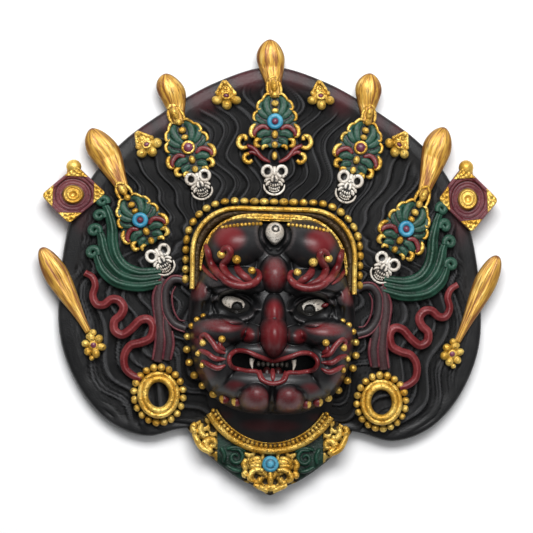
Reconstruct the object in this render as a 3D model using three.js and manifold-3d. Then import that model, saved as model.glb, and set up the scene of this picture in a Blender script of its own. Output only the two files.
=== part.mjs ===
// A cast and painted wall mask of a wrathful guardian, lying on its flat back.
// One solid: a domed plaque of flowing hair, the face that swells out of it, and the crown,
// earrings, ribbons and collar cast with it. The back is flat, with a hollow behind the face.
// Millimetres. The back lies in z = 0, the face looks along +Z, the crown points along +Y.
// The left half mirrors the right, so places are given on the right, with x positive.
import * as THREE from 'three';
import { mergeVertices } from 'three/addons/utils/BufferGeometryUtils.js';
import Module from 'manifold-3d';

const wasm = await Module();
wasm.setup();

// Overall sizes
const TIP_TO_POINT = 246; // from the tip of the middle petal to the point of the collar
const BOTTOM = -TIP_TO_POINT / 2;

// The plaque of hair: a dome that falls from its middle to a rim
const PLAQUE = {
  middle: -5, // y of the dome's middle
  edge: 8, // height of the rim
  rise: 15, // how far the dome stands above the rim
  strands: 23, // carved strands around it
  strandDepth: 2.2,
  wander: 3.4, // how far a strand sways to each side, in degrees
  waves: 17, // how fast it sways on its way out
  carved: [0.9, 0.75, 0.55], // rings of carved hair, as shares of the way to the outline
};
// Right half of the plaque's outline, from the crown down to the collar
const HALF_OUTLINE = [
  [0, 108.5], [30, 100], [58, 84], [81, 67], [98, 46], [109, 20], [114, -14],
  [113, -42], [103, -67], [87, -85], [67, -92.5], [47, -88], [22, -86],
];

// The face: a superellipse in plan, squarer and narrower at the forehead than at the jaw, with
// swellings that stand up from its dome by so much, and pits cut down to a floor
const FACE = {
  y: -25, halfWidth: 43.5, halfHeight: 54.5, foot: 17, rise: 23, jaw: 2.3, brow: 3.4, forehead: 0.945,
};
const BLEND = 2.5; // height over which the swellings run into each other
const INSIDE = 0.9999; // share at which the outline's own height is read, just inside it
const SWELLINGS = [
  { x: 21.5, y: 15, rx: 20.5, ry: 16, up: 11 }, // forehead
  { x: 0, y: -4, rx: 7.8, ry: 10.5, up: 14 }, // knot between the brows
  { x: 22, y: -8, rx: 21, ry: 8, up: 10 }, // brow
  { x: 39.5, y: -14, rx: 6, ry: 7, up: 9 }, // temple
  { x: 0, y: -24, rx: 5.4, ry: 9, up: 10 }, // bridge of the nose
  { x: 0, y: -37, rx: 8, ry: 11, up: 21 }, // nose
  { x: 11.8, y: -36, rx: 5.4, ry: 5.6, up: 10 }, // wing of the nose
  { x: 27, y: -34.5, rx: 18, ry: 7.8, up: 13 }, // cheekbone
  { x: 31, y: -48, rx: 13.5, ry: 17, up: 12 }, // cheek
  { x: 9, y: -44.8, rx: 14, ry: 6.5, up: 8 }, // upper lip
  { x: 0, y: -63, rx: 29, ry: 9.5, up: 9 }, // lower jaw
  { x: 8.8, y: -70.3, rx: 8.8, ry: 8.8, up: 19 }, // lobe of the chin
];
const PITS = [
  { x: 20.4, y: -20.6, rx: 11, ry: 7, floor: 34.5 }, // eye socket
  { x: 0, y: -51.5, rx: 22, ry: 5.5, floor: 32 }, // mouth
  { x: 0, y: 16, rx: 9, ry: 9, floor: 34 }, // socket of the third eye
];
const EYES = [
  { x: 20.4, y: -20.6, rx: 8, ry: 5, top: 40 },
  { x: 0, y: 18.6, rx: 5.2, ry: 5.8, top: 43 },
];

// The crown: five finials, each a skull, a jewel and a petal on one line
const FINIALS = [
  { base: [0, 38.5], lean: 0, jewel: 40, petalFoot: 52, petalTip: 84.5, petalWidth: 15.2, petalLean: 0 },
  { base: [37, 35.5], lean: 18, jewel: 30.5, petalFoot: 43, petalTip: 71.5, petalWidth: 14.6, petalLean: -4 },
  { base: [55.5, -6], lean: 29, jewel: 33.2, petalFoot: 50, petalTip: 90.5, petalWidth: 16, petalLean: -3.5 },
];
const SKULL = { along: 8.5, socket: 3.9, socketUp: 4.4, rim: 2.9, wire: 1.1, head: 6.6, middle: -1 };
const JEWEL = { halfWidth: 11.5, up: 14, down: 13, height: 5.5, disc: 4.3, bead: 1.8 };
const LOW_PETAL = { foot: [100.5, -36.5], tip: [123.2, 8], width: 13.4 };
const PETAL_TIP_HEIGHT = 9; // where the petals reach past the rim, clear of the table

// Ornaments on the hair
const TREFOILS = [[25.5, 92.5, 0], [68, 66, 35]]; // x, y, lean
const ROSETTE = { x: 98, y: -43.5, petals: 5, spread: 4.2, bead: 2.5 };
const TABLET = { x: 106.5, y: 38, width: 26, height: 22.5, thick: 6, turn: 42, ring: 5.2, knob: 3.8 };
const EARRING = { x: 60, y: -70.5, rx: 9.2, ry: 10.4, tube: 2.5, beads: 13, beadRing: 1.52, bead: 2.1 };
const RIBBON = [
  [100.6, -6], [95.2, -13], [95.4, -21.5], [90.3, -23.3], [82.2, -20.7], [79.6, -24.4], [84.4, -32],
  [83, -38], [76.5, -36.5], [70.7, -31], [65, -31.4], [64.2, -39], [69.6, -42.8], [75.5, -44.7],
  [79, -52], [76.5, -60], [69.6, -62],
];
const PLUMES = [
  [[60, -4], [76, -4.6], [84.4, 1.9], [87, 12], [88.6, 24.4], [94, 27.2]],
  [[60, -7.2], [76, -9], [86.8, -2.1], [92, 10], [98.4, 14.5]],
  [[59.5, -10.2], [77, -12.8], [90.6, -6.4], [99, 3]],
];
const EAR = [[46, -10.5], [49.2, -8], [57.8, -12], [57, -26], [52, -33], [46.6, -35]];
const STRAP = [[58.8, -8], [61.4, -20], [59.8, -33], [60, -53]];

// Ornaments on the face
const HEADBAND = { halfWidth: 42.6, top: 30.4, foot: -12, corner: 23, tube: 2.1 };
const HEADBAND_BEADS = { halfWidth: 48, top: 36, foot: -10, corner: 25, bead: 2.25, pitch: 6 };
const BROW_FLAMES = [
  [[37, 14.5], [33.6, 1], [29, -5.5], [21, -9]],
  [[28.2, 6], [24.6, 8.4], [27, -0.4], [23.5, -6], [15, -9]],
  [[20.4, 2.5], [18, -4], [12, -7.6]],
  [[26, -8.2], [17, -10.4], [8.4, -6], [11.2, -1.4]],
];
const CHEEK_FLAMES = [
  [[38.4, -38.6], [34, -39], [29.6, -45], [25.4, -46.6]],
  [[40, -46.4], [33, -48.3], [25.4, -49.6]],
  [[37.6, -52], [31, -54.2], [25.4, -52.8]],
];
const LIPS = [
  [0, -50], [-8.4, -47.6], [-16.8, -45.2], [-23, -48.5], [-20.8, -55.6], [-12, -57.2], [-6, -60.6], [0, -63],
];
const FANG = { x: 10.6, y: -52.6, radius: 1.5, length: 5 };
const JAW_BEADS = [[38, -27.3], [46, -38.7], [44.8, -52.6], [36.7, -64.5], [25.6, -70.6], [19.4, -71.6]];
const JAW_BEAD = { radius: 1.8, pitch: 6 };

// The collar: a shield-shaped gorget hung below the chin
const COLLAR = {
  centre: -61.5, // y of the middle of its round upper edge
  inner: 34,
  tube: 37.6,
  tubeRadius: 1.9,
  height: 13, // top of the raised work on it
  rise: 1.5, // how far that stands above the plate
  cornerX: 44.5,
  cornerY: -87,
  disc: { y: -106, radius: 4.4 },
  neck: 19, // height of the neck above the back
};

// The hollow behind the face
const HOLLOW = { y: -20, halfWidth: 31, halfHeight: 40, depth: 27, draft: 0.84 };

// A bead is cut wider and taller than its radius, and sunk by a share of it
const BEAD = { wider: 1.15, taller: 1.7, sunk: 0.8 };

const TAU = 2 * Math.PI;
const clamp01 = (t) => Math.min(1, Math.max(0, t));
const mix = (a, b, t) => a + (b - a) * t;
const smoothStep = (t) => clamp01(t) ** 2 * (3 - 2 * clamp01(t));
const smoothMax = (a, b, k) => Math.max(a, b) + Math.max(k - Math.abs(a - b), 0) ** 2 / (4 * k);
const atSide = ([x, y], side) => [side * x, y];
const mirrored = (points) => points.map((p) => atSide(p, -1));
const turned = ([x, y], degrees) => {
  const a = THREE.MathUtils.degToRad(degrees);
  return [x * Math.cos(a) + y * Math.sin(a), y * Math.cos(a) - x * Math.sin(a)];
};

// A smooth plane curve through points
function planeCurve(points, closed = false) {
  const knots = points.map(([x, y]) => new THREE.Vector3(x, y, 0));
  return new THREE.CatmullRomCurve3(knots, closed, 'centripetal');
}

// Evenly spaced points along a plane curve
const spaced = (points, count) => planeCurve(points).getSpacedPoints(count).map((p) => [p.x, p.y]);

// Turns a closed three.js geometry into a solid
function solid(geometry) {
  const bare = new THREE.BufferGeometry();
  bare.setAttribute('position', geometry.getAttribute('position'));
  if (geometry.index) bare.setIndex(geometry.index);
  const merged = mergeVertices(bare, 1e-4);
  return new wasm.Manifold(new wasm.Mesh({
    numProp: 3,
    vertProperties: Float32Array.from(merged.getAttribute('position').array),
    triVerts: Uint32Array.from(merged.index.array),
  }));
}

// A closed solid from rings of equal length, one above the next, with a pole at each end.
// Rings run anticlockwise seen from the end that they climb towards.
function skinned(rings, startPole, endPole) {
  const count = rings[0].length;
  const places = [startPole, ...rings.flat(), endPole];
  const last = places.length - 1;
  const at = (ring, k) => 1 + ring * count + (k % count);
  const faces = [];
  for (let k = 0; k < count; k += 1) {
    faces.push(0, at(0, k + 1), at(0, k));
    for (let ring = 0; ring < rings.length - 1; ring += 1) {
      faces.push(at(ring, k), at(ring, k + 1), at(ring + 1, k));
      faces.push(at(ring, k + 1), at(ring + 1, k + 1), at(ring + 1, k));
    }
    faces.push(last, at(rings.length - 1, k), at(rings.length - 1, k + 1));
  }
  const geometry = new THREE.BufferGeometry();
  geometry.setAttribute('position', new THREE.Float32BufferAttribute(places.flat(), 3));
  geometry.setIndex(faces);
  return solid(geometry);
}

// The plaque's outline, as evenly spaced points and as a radius by angle
const OUTLINE_STEPS = 2 * PLAQUE.strands;
const wholeOutline = [...HALF_OUTLINE, ...mirrored(HALF_OUTLINE.slice(1)).reverse()];
const outline = planeCurve(wholeOutline, true).getSpacedPoints(OUTLINE_STEPS).slice(0, -1)
  .map((p) => [p.x, p.y]).reverse();
const outlineByAngle = outline
  .map(([x, y]) => [Math.atan2(y - PLAQUE.middle, x), Math.hypot(x, y - PLAQUE.middle)])
  .sort((a, b) => a[0] - b[0]);

function outlineRadius(angle) {
  const count = outlineByAngle.length;
  const next = outlineByAngle.findIndex(([a]) => a > angle);
  const [high, highRadius] = outlineByAngle[next < 0 ? 0 : next];
  const [low, lowRadius] = outlineByAngle[(next < 0 ? count : next || count) - 1];
  const span = (high - low + TAU) % TAU;
  return mix(lowRadius, highRadius, ((angle - low + TAU) % TAU) / span);
}

// Height of the plaque: rim, plus a dome over the share of the way to the outline
const domeHeight = (share) => PLAQUE.edge + PLAQUE.rise * Math.max(0, 1 - share ** 2) ** 0.8;
function plaqueHeight(x, y) {
  const dy = y - PLAQUE.middle;
  return domeHeight(Math.min(1, Math.hypot(x, dy) / outlineRadius(Math.atan2(dy, x))));
}

// Half-width of the face at a height, and how square its outline is above and below its middle
const faceWidth = (y) => FACE.halfWidth * mix(1, FACE.forehead, smoothStep((y - FACE.y) / 25));
const faceSquareness = (side) => (side > 0 ? FACE.brow : FACE.jaw);

// Share of the way from the middle of the face to its outline
function faceShare(x, y) {
  const power = faceSquareness(y - FACE.y);
  const across = Math.abs(x / faceWidth(y)) ** power;
  return (across + Math.abs((y - FACE.y) / FACE.halfHeight) ** power) ** (1 / power);
}

// How far out a point lies in an oval, or in the pair of ovals either side of the middle
const ovalShare = ({ x, y, rx, ry }, px, py) => Math.hypot((Math.abs(px) - x) / rx, (py - y) / ry);

// Height of the face: a dome, its swellings run together, its pits cut in, and the eyeballs
function faceHeight(x, y) {
  const share = faceShare(x, y);
  if (share > 1) return -Infinity;
  let lift = 0;
  SWELLINGS.forEach((s) => {
    const d = ovalShare(s, x, y);
    lift = smoothMax(lift, s.up * (d < 1 ? Math.sqrt(1 - d * d) : 1.5 * (1 - d)), BLEND);
  });
  let z = FACE.foot + FACE.rise * (1 - share ** 3) ** 0.6 + lift * smoothStep((1 - share) / 0.16);
  PITS.forEach((pit) => {
    z = mix(z, Math.min(z, pit.floor), smoothStep((1.15 - ovalShare(pit, x, y)) / 0.4));
  });
  EYES.forEach((eye) => {
    const d = ovalShare(eye, x, y);
    if (d < 1) z = Math.max(z, eye.top - eye.ry * (1 - Math.sqrt(1 - d * d)));
  });
  return z;
}

const ground = (x, y) => Math.max(plaqueHeight(x, y), faceHeight(x, y));

// The plaque: rings that shrink towards its middle, with strands of hair raised on every other
// column, a smooth rim, and a flat underside
function plaque() {
  const toMiddle = ([x, y], share, sway = 0) => {
    const [dx, dy] = turned([x, y - PLAQUE.middle], sway);
    return [dx * share, PLAQUE.middle + dy * share];
  };
  const ring = (share, z) => outline.map((p) => [...toMiddle(p, share), z]);
  const hair = PLAQUE.carved.map((share) => outline.map((p, k) => [
    ...toMiddle(p, share, PLAQUE.wander * Math.sin(share * PLAQUE.waves)),
    domeHeight(share) - (k % 2 ? PLAQUE.strandDepth : 0),
  ]));
  const rings = [
    ring(0.985, 0),
    ring(1, PLAQUE.edge * 0.45),
    ring(0.975, domeHeight(0.975) - 1),
    ...hair,
  ];
  return skinned(rings, [0, PLAQUE.middle, 0], [0, PLAQUE.middle, domeHeight(0.3)]);
}

// The face: rings that shrink from its outline to its middle, standing in the plaque
function face() {
  const columns = 32;
  const shares = [1, 0.94, 0.84, 0.74, 0.64, 0.53, 0.41, 0.28, 0.13];
  const sunk = 6;
  const at = (share, k) => {
    const a = (TAU * k) / columns;
    const power = 2 / faceSquareness(Math.sin(a));
    const y = FACE.y + Math.sign(Math.sin(a)) * Math.abs(Math.sin(a)) ** power * FACE.halfHeight * share;
    return [Math.sign(Math.cos(a)) * Math.abs(Math.cos(a)) ** power * faceWidth(y) * share, y];
  };
  const ring = (share) => Array.from({ length: columns }, (_, k) => {
    const [x, y] = at(share, k);
    return [x, y, faceHeight(x * INSIDE, FACE.y + (y - FACE.y) * INSIDE)];
  });
  const foot = Array.from({ length: columns }, (_, k) => [...at(1, k), sunk]);
  return skinned([foot, ...shares.map(ring)], [0, FACE.y, sunk], [0, FACE.y, faceHeight(0, FACE.y)]);
}

// A bar along a plane curve, laid on the surface: at each station a ring whose half-width and
// height are size(t), t running from 0 to 1, with a point at each end
function bar(points, size, { stations = 12, sides = 3, lift = 0, tall = 1, height = ground } = {}) {
  const path = spaced(points, stations);
  const middle = path.map(([x, y]) => [x, y, height(x, y) + lift]);
  const rings = path.map(([x, y], i) => {
    const [ax, ay] = path[Math.max(0, i - 1)];
    const [bx, by] = path[Math.min(stations, i + 1)];
    const length = Math.hypot(bx - ax, by - ay);
    const across = [(ay - by) / length, (bx - ax) / length];
    const r = size(i / stations);
    return Array.from({ length: sides }, (_, k) => {
      const a = (TAU * k) / sides + Math.PI / 2;
      const out = r * Math.cos(a);
      return [x + across[0] * out, y + across[1] * out, middle[i][2] + r * tall * Math.sin(a)];
    });
  });
  return skinned(rings, middle[0], middle[stations]);
}

// The same bar on the right and on the left
function pairOfBars(points, size, options) {
  return [bar(points, size, options), bar(mirrored(points), size, options)];
}

const tapered = (radius, tip = 0.35) => (t) => radius * mix(tip, 1, Math.sin(Math.PI * t) ** 0.6);

// A bead cut to eight facets, which reaches down into the carving below it
function bead(x, y, z, radius) {
  const { wider, taller, sunk } = BEAD;
  const cut = new THREE.OctahedronGeometry(radius * wider, 0).scale(1, 1, taller);
  return solid(cut.translate(x, y, z - radius * sunk));
}

// Beads set along a plane curve at an even pitch
function beadRow(points, pitch, radius, height) {
  const curve = planeCurve(points);
  const count = Math.round(curve.getLength() / pitch);
  return curve.getSpacedPoints(count).map((p) => bead(p.x, p.y, height(p.x, p.y) + radius * 0.35, radius));
}

// A petal: lens-shaped across, widest near its tip, from a foot on the hair out past the rim
function petal(foot, tip, width) {
  const stations = [0, 0.28, 0.5, 0.68, 0.84, 0.95];
  const widest = 0.7;
  const sides = 6;
  const [dx, dy] = [tip[0] - foot[0], tip[1] - foot[1]];
  const length = Math.hypot(dx, dy);
  const across = [-dy / length, dx / length];
  const level = (x, y) => Math.max(PETAL_TIP_HEIGHT, plaqueHeight(x, y) + 1);
  const rings = stations.map((t) => {
    const swell = mix(0.45, 1, smoothStep(t / widest));
    const close = t > widest ? Math.sqrt(1 - ((t - widest) / (1 - widest)) ** 2) : 1;
    const half = (width / 2) * swell * close;
    const [x, y] = [foot[0] + dx * t, foot[1] + dy * t];
    return Array.from({ length: sides }, (_, k) => {
      const a = (TAU * k) / sides;
      const out = half * Math.cos(a);
      return [x + across[0] * out, y + across[1] * out, level(x, y) + half * 0.6 * Math.sin(a)];
    });
  });
  return skinned(rings, [...foot, level(...foot)], [...tip, level(...tip)]);
}

// A jewel: a leaf-edged boss with a disc at its middle and a spine of beads
function jewel([x, y], lean) {
  const sides = 10;
  const ring = (share, rise) => Array.from({ length: sides }, (_, k) => {
    const a = (TAU * k) / sides;
    const reach = Math.sin(a) > 0 ? JEWEL.up : JEWEL.down;
    const lobe = k % 2 ? 1 : 0.86;
    const across = JEWEL.halfWidth * Math.cos(a) * share * lobe;
    const point = turned([across, reach * Math.sin(a) * share * lobe], lean);
    return [x + point[0], y + point[1], plaqueHeight(x + point[0], y + point[1]) + rise];
  });
  const z = plaqueHeight(x, y);
  const levels = [ring(0.96, -3), ring(1, 1), ring(0.66, JEWEL.height - 2)];
  const boss = skinned(levels, [x, y, z - 3], [x, y, z + JEWEL.height]);
  const disc = new THREE.CylinderGeometry(JEWEL.disc * 0.8, JEWEL.disc, 5, 9).rotateX(Math.PI / 2)
    .translate(x, y, z + JEWEL.height);
  const spine = [-9, 8].map((along) => {
    const [bx, by] = turned([0, along], lean);
    return bead(x + bx, y + by, plaqueHeight(x + bx, y + by) + JEWEL.height - 1.2, JEWEL.bead * 1.2);
  });
  return [boss, solid(disc), ...spine];
}

// A skull: two round eye rims on a long head that narrows to its jaw
function skull([x, y], lean) {
  const z = plaqueHeight(x, y);
  const place = (across, up) => {
    const [dx, dy] = turned([across, up], lean);
    return [x + dx, y + dy];
  };
  const rims = [-1, 1].map((side) => solid(
    new THREE.TorusGeometry(SKULL.rim, SKULL.wire, 3, 5)
      .translate(...place(side * SKULL.socket, SKULL.socketUp), z + 2.6),
  ));
  const head = new THREE.IcosahedronGeometry(SKULL.head, 0).scale(0.9, 1.2, 0.7)
    .rotateZ(THREE.MathUtils.degToRad(-lean)).translate(...place(0, SKULL.middle), z);
  return [...rims, solid(head)];
}

// The places of one finial's parts on the right or, with side -1, on the left
function finial({ base, lean, jewel: along, petalFoot, petalTip, petalWidth, petalLean }, side) {
  const place = (distance, bend = 0) => {
    const [dx, dy] = turned([0, distance], lean + bend);
    return [side * (base[0] + dx), base[1] + dy];
  };
  return [
    petal(place(petalFoot), place(petalTip, petalLean), petalWidth),
    ...jewel(place(along), side * lean),
    ...skull(place(SKULL.along), side * lean),
  ];
}

function crown() {
  return FINIALS.flatMap((f) => (f.base[0] ? [...finial(f, 1), ...finial(f, -1)] : finial(f, 1)));
}

// A pointed bud over three beads
function trefoil(x, y, lean) {
  const z = plaqueHeight(x, y);
  const place = (across, up) => {
    const [dx, dy] = turned([across, up], lean);
    return [x + dx, y + dy];
  };
  const bud = new THREE.ConeGeometry(4.6, 11, 6).rotateZ(THREE.MathUtils.degToRad(-lean))
    .translate(...place(0, 2.6), z + 1.8);
  const beads = [[-4.4, -2], [4.4, -2], [0, -4.6]]
    .map(([across, up]) => bead(...place(across, up), z + 2.4, 2.7));
  return [solid(bud), ...beads];
}

// A rosette of round petals at the foot of a low petal
function rosette(side) {
  const { x, y, petals, spread, bead: radius } = ROSETTE;
  const ring = Array.from({ length: petals }, (_, k) => {
    const a = (TAU * k) / petals + 0.3;
    const place = [side * (x + spread * Math.cos(a)), y + spread * Math.sin(a)];
    return bead(...place, plaqueHeight(...place) + radius * 0.7, radius);
  });
  return [...ring, bead(side * x, y, plaqueHeight(x, y) + radius, radius)];
}

// A square tablet with a ring on it and a knob at its top corner
function tablet(side) {
  const { x, y, width, height, thick, turn, ring, knob } = TABLET;
  const z = PLAQUE.edge;
  const angle = THREE.MathUtils.degToRad(-side * turn);
  const [kx, ky] = turned([-width * 0.47, height * 0.5], turn);
  const slab = new THREE.BoxGeometry(width, height, thick).rotateZ(angle)
    .translate(side * x, y, z + thick / 2 - 1);
  const hoop = new THREE.TorusGeometry(ring * 0.7, ring * 0.3, 4, 10).translate(side * x, y, z + thick - 0.8);
  const ball = new THREE.IcosahedronGeometry(knob, 0).translate(side * (x + kx), y + ky, z + thick / 2);
  return [slab, hoop, ball].map(solid);
}

// An oval earring with a ring of beads around it
function earring(side) {
  const { x, y, rx, ry, tube, beads, beadRing, bead: radius } = EARRING;
  const z = plaqueHeight(x, y) + 2;
  const hoop = new THREE.TorusGeometry(rx, tube, 4, 12).scale(1, ry / rx, 1.1).translate(side * x, y, z);
  const ring = Array.from({ length: beads }, (_, k) => {
    const a = (TAU * k) / beads;
    const place = [side * x + rx * beadRing * Math.cos(a), y + ry * beadRing * Math.sin(a)];
    return bead(...place, plaqueHeight(...place) + radius * 0.6, radius);
  });
  return [solid(hoop), ...ring];
}

// An arch with straight legs and round shoulders, from its right foot over to its left
function arch({ halfWidth, top, foot, corner }) {
  const leg = [[halfWidth, foot], [halfWidth, top - corner - 4]];
  const shoulder = [0.25, 0.5, 0.75, 1].map((share) => {
    const a = (share * Math.PI) / 2;
    return [halfWidth - corner * (1 - Math.cos(a)), top - corner * (1 - Math.sin(a))];
  });
  const right = [...leg, ...shoulder];
  return [...right, ...mirrored(right).reverse()];
}

// The band around the forehead, level with its flank, and the beads around the band
function headband() {
  const bandHeight = (x, y) => Math.max(30, plaqueHeight(x, y) + 8);
  const beadHeight = (x, y) => plaqueHeight(x, y) + 1.5;
  const wall = { stations: 22, sides: 4, tall: 3.2, lift: -3, height: bandHeight };
  return [
    bar(arch(HEADBAND), () => HEADBAND.tube, wall),
    ...beadRow(arch(HEADBAND_BEADS), HEADBAND_BEADS.pitch, HEADBAND_BEADS.bead, beadHeight),
  ];
}

// Flames on the brows and cheeks, lips, fangs and the beads around the jaw
function faceOrnaments() {
  const flames = [
    ...BROW_FLAMES.flatMap((f) => pairOfBars(f, tapered(2), { stations: 4, lift: 0.5 })),
    ...CHEEK_FLAMES.flatMap((f) => pairOfBars(f, tapered(1.6), { stations: 3, lift: 0.4 })),
  ];
  const mouthRim = (x, y) => mix(39, 44, smoothStep(1 - Math.abs(x) / 24)) + (y > -51 ? 1 : 0);
  const lips = pairOfBars(LIPS, () => 1.3, { stations: 8, height: mouthRim, tall: 1.5 });
  const fangs = [-1, 1].map((side) => solid(
    new THREE.ConeGeometry(FANG.radius, FANG.length, 5).rotateX(Math.PI).scale(1, 1, 4)
      .translate(side * FANG.x, FANG.y, 37),
  ));
  const beads = [JAW_BEADS, mirrored(JAW_BEADS)]
    .flatMap((row) => beadRow(row, JAW_BEAD.pitch, JAW_BEAD.radius, plaqueHeight));
  return [...flames, ...lips, ...fangs, ...beads];
}

// The neck's slope, the gorget and the raised work on it
function collar() {
  const { centre, inner, tube, tubeRadius, height, rise, cornerX, cornerY, disc, neck } = COLLAR;
  const shape = new THREE.Shape();
  shape.moveTo(-cornerX, cornerY);
  shape.quadraticCurveTo(-38, -105, -17, -114);
  shape.lineTo(0, BOTTOM);
  shape.lineTo(17, -114);
  shape.quadraticCurveTo(38, -105, cornerX, cornerY);
  shape.lineTo(33, -76);
  shape.lineTo(-33, -76);
  const plate = new THREE.ExtrudeGeometry(shape, { depth: height - rise, bevelEnabled: false, curveSegments: 5 });
  const throat = new THREE.CylinderGeometry(inner - 1, inner, neck, 24).rotateX(Math.PI / 2)
    .translate(0, centre, neck / 2);
  const arc = (radius, span) => Array.from({ length: 9 }, (_, k) => {
    const a = mix(-span, span, k / 8) - Math.PI / 2;
    return [radius * Math.cos(a), centre + radius * Math.sin(a)];
  });
  const level = (x, y) => mix(height, height + 2, clamp01((y + 96) / 20));
  const rail = bar(arc(tube, 1.08), () => tubeRadius, { stations: 12, sides: 4, height: level, tall: 1.6 });
  const scrolls = [[-36, -91.5], [-31, -98], [-22, -103.5], [36, -91.5], [31, -98], [22, -103.5]]
    .map(([x, y]) => bead(x, y, height, 3.9));
  const lobes = [[-8, -105], [8, -105], [-7.5, -112.5], [7.5, -112.5], [0, -115]]
    .map(([x, y]) => bead(x, y, height, 3.4));
  const stone = new THREE.CylinderGeometry(disc.radius * 0.85, disc.radius, 5, 12).rotateX(Math.PI / 2)
    .translate(0, disc.y, height);
  return [solid(plate), solid(throat), rail, ...scrolls, ...lobes, solid(stone)];
}

// The hollow behind the face, open at the back and drawn in towards its floor
function hollow() {
  const plug = new THREE.CylinderGeometry(HOLLOW.draft, 1, HOLLOW.depth + 1, 36).rotateX(Math.PI / 2)
    .scale(HOLLOW.halfWidth, HOLLOW.halfHeight, 1).translate(0, HOLLOW.y, (HOLLOW.depth - 1) / 2);
  return solid(plug);
}

// The raised bars on the hair of one side: ribbon, plumes, ear and the strap before it
function bars(side) {
  const place = (points) => points.map((p) => atSide(p, side));
  return [
    bar(place(RIBBON), tapered(2.4, 0.5), { stations: 17, lift: 0.6 }),
    ...PLUMES.map((p) => bar(place(p), tapered(2.6, 0.7), { stations: 5, lift: 0.8, tall: 1.2 })),
    bar(place(EAR), tapered(1.8, 0.6), { stations: 7, lift: 1.5, height: plaqueHeight, tall: 1.4 }),
    bar(place(STRAP), tapered(3.4, 0.8), { stations: 4, lift: 0.8, height: plaqueHeight, tall: 0.8 }),
  ];
}

// Everything cast as one solid, without the small voids sealed in where its parts overlap
function mask() {
  const cast = [
    plaque(),
    face(),
    ...headband(),
    ...faceOrnaments(),
    ...collar(),
    ...crown(),
    ...TREFOILS.flatMap(([x, y, lean]) => [...trefoil(x, y, lean), ...trefoil(-x, y, -lean)]),
    ...[1, -1].flatMap((side) => [
      ...bars(side),
      ...rosette(side),
      ...tablet(side),
      ...earring(side),
      petal(atSide(LOW_PETAL.foot, side), atSide(LOW_PETAL.tip, side), LOW_PETAL.width),
    ]),
  ];
  const whole = cast.reduce((sum, part) => sum.add(part)).subtract(hollow());
  const [body] = whole.decompose().sort((a, b) => b.volume() - a.volume());
  const { vertProperties, triVerts } = body.getMesh();
  const geometry = new THREE.BufferGeometry();
  geometry.setAttribute('position', new THREE.BufferAttribute(vertProperties, 3));
  geometry.setIndex(new THREE.BufferAttribute(triVerts, 1));
  return geometry;
}

const mesh = new THREE.Mesh(
  mask(),
  new THREE.MeshStandardMaterial({ color: 0x2b2927, roughness: 0.6, metalness: 0 }),
);
mesh.name = 'mask';

const group = new THREE.Group();
group.add(mesh);

export default group;
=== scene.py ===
"""A painted guardian mask lying on its back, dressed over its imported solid.

Every piece is a closed surface worked out with numpy. Sizes are in millimetres, in the frame of
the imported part: the back lies in z = 0, the face looks along +Z and the crown points along +Y.
The right half, with x positive, is given and the left half mirrors it. `piece` turns
millimetres into metres.
"""
import math

import bpy
import numpy as np
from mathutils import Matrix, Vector


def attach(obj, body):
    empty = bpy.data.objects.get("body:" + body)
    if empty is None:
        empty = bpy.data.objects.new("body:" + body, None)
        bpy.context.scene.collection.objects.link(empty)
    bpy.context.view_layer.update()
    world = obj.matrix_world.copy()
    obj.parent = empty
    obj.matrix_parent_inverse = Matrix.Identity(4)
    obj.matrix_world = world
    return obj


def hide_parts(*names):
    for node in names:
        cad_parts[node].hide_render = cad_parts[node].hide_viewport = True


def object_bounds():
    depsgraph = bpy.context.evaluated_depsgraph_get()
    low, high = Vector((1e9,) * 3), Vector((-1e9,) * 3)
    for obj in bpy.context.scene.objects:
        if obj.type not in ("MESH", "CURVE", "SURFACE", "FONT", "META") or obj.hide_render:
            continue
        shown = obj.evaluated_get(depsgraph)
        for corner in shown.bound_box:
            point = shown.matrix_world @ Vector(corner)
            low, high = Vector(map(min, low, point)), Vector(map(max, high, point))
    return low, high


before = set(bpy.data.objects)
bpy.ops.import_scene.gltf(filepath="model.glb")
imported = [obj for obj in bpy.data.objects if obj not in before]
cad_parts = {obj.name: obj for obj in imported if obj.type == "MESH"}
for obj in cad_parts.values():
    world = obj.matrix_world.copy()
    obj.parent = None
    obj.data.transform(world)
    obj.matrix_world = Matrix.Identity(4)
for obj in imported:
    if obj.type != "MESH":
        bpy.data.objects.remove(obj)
cad_low, cad_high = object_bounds()

# Driving sizes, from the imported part
MM = 0.001
POINT = cad_low.y / MM  # point of the gorget
TAU = 2 * math.pi
chance = np.random.default_rng(7)

# The plaque of hair: a dome over a rim, about a middle on the axis. Its locks end at a share rim of
# the way out, are lock wide and depth deep, and over the brow they fan out from fan on the axis
PLAQUE = dict(middle=-5, edge=8, rise=15, rim=0.9, lock=8.2, depth=2.9, fan=-62)
HALF_OUTLINE = [
    (0, 108.5), (30, 100), (58, 84), (81, 67), (98, 46), (109, 20), (114, -14),
    (113, -42), (103, -67), (87, -85), (67, -92.5), (47, -88), (22, -86),
]
HOLLOW = dict(y=-20, half_width=31, half_height=40, depth=27, draft=0.84)
SKIN = 1.5  # least wall over the hollow
# How unevenly it was cast: shift and lean of the carving, and sag of the right side
CAST = dict(shift=0.9, lean=0.017, sag=0.018)

# The face: a superellipse in plan, squarer and narrower at the forehead
FACE = dict(y=-25, half_width=45, half_height=54.5, foot=17, rise=23, jaw=2.6, brow=3.4, forehead=0.92)
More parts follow.
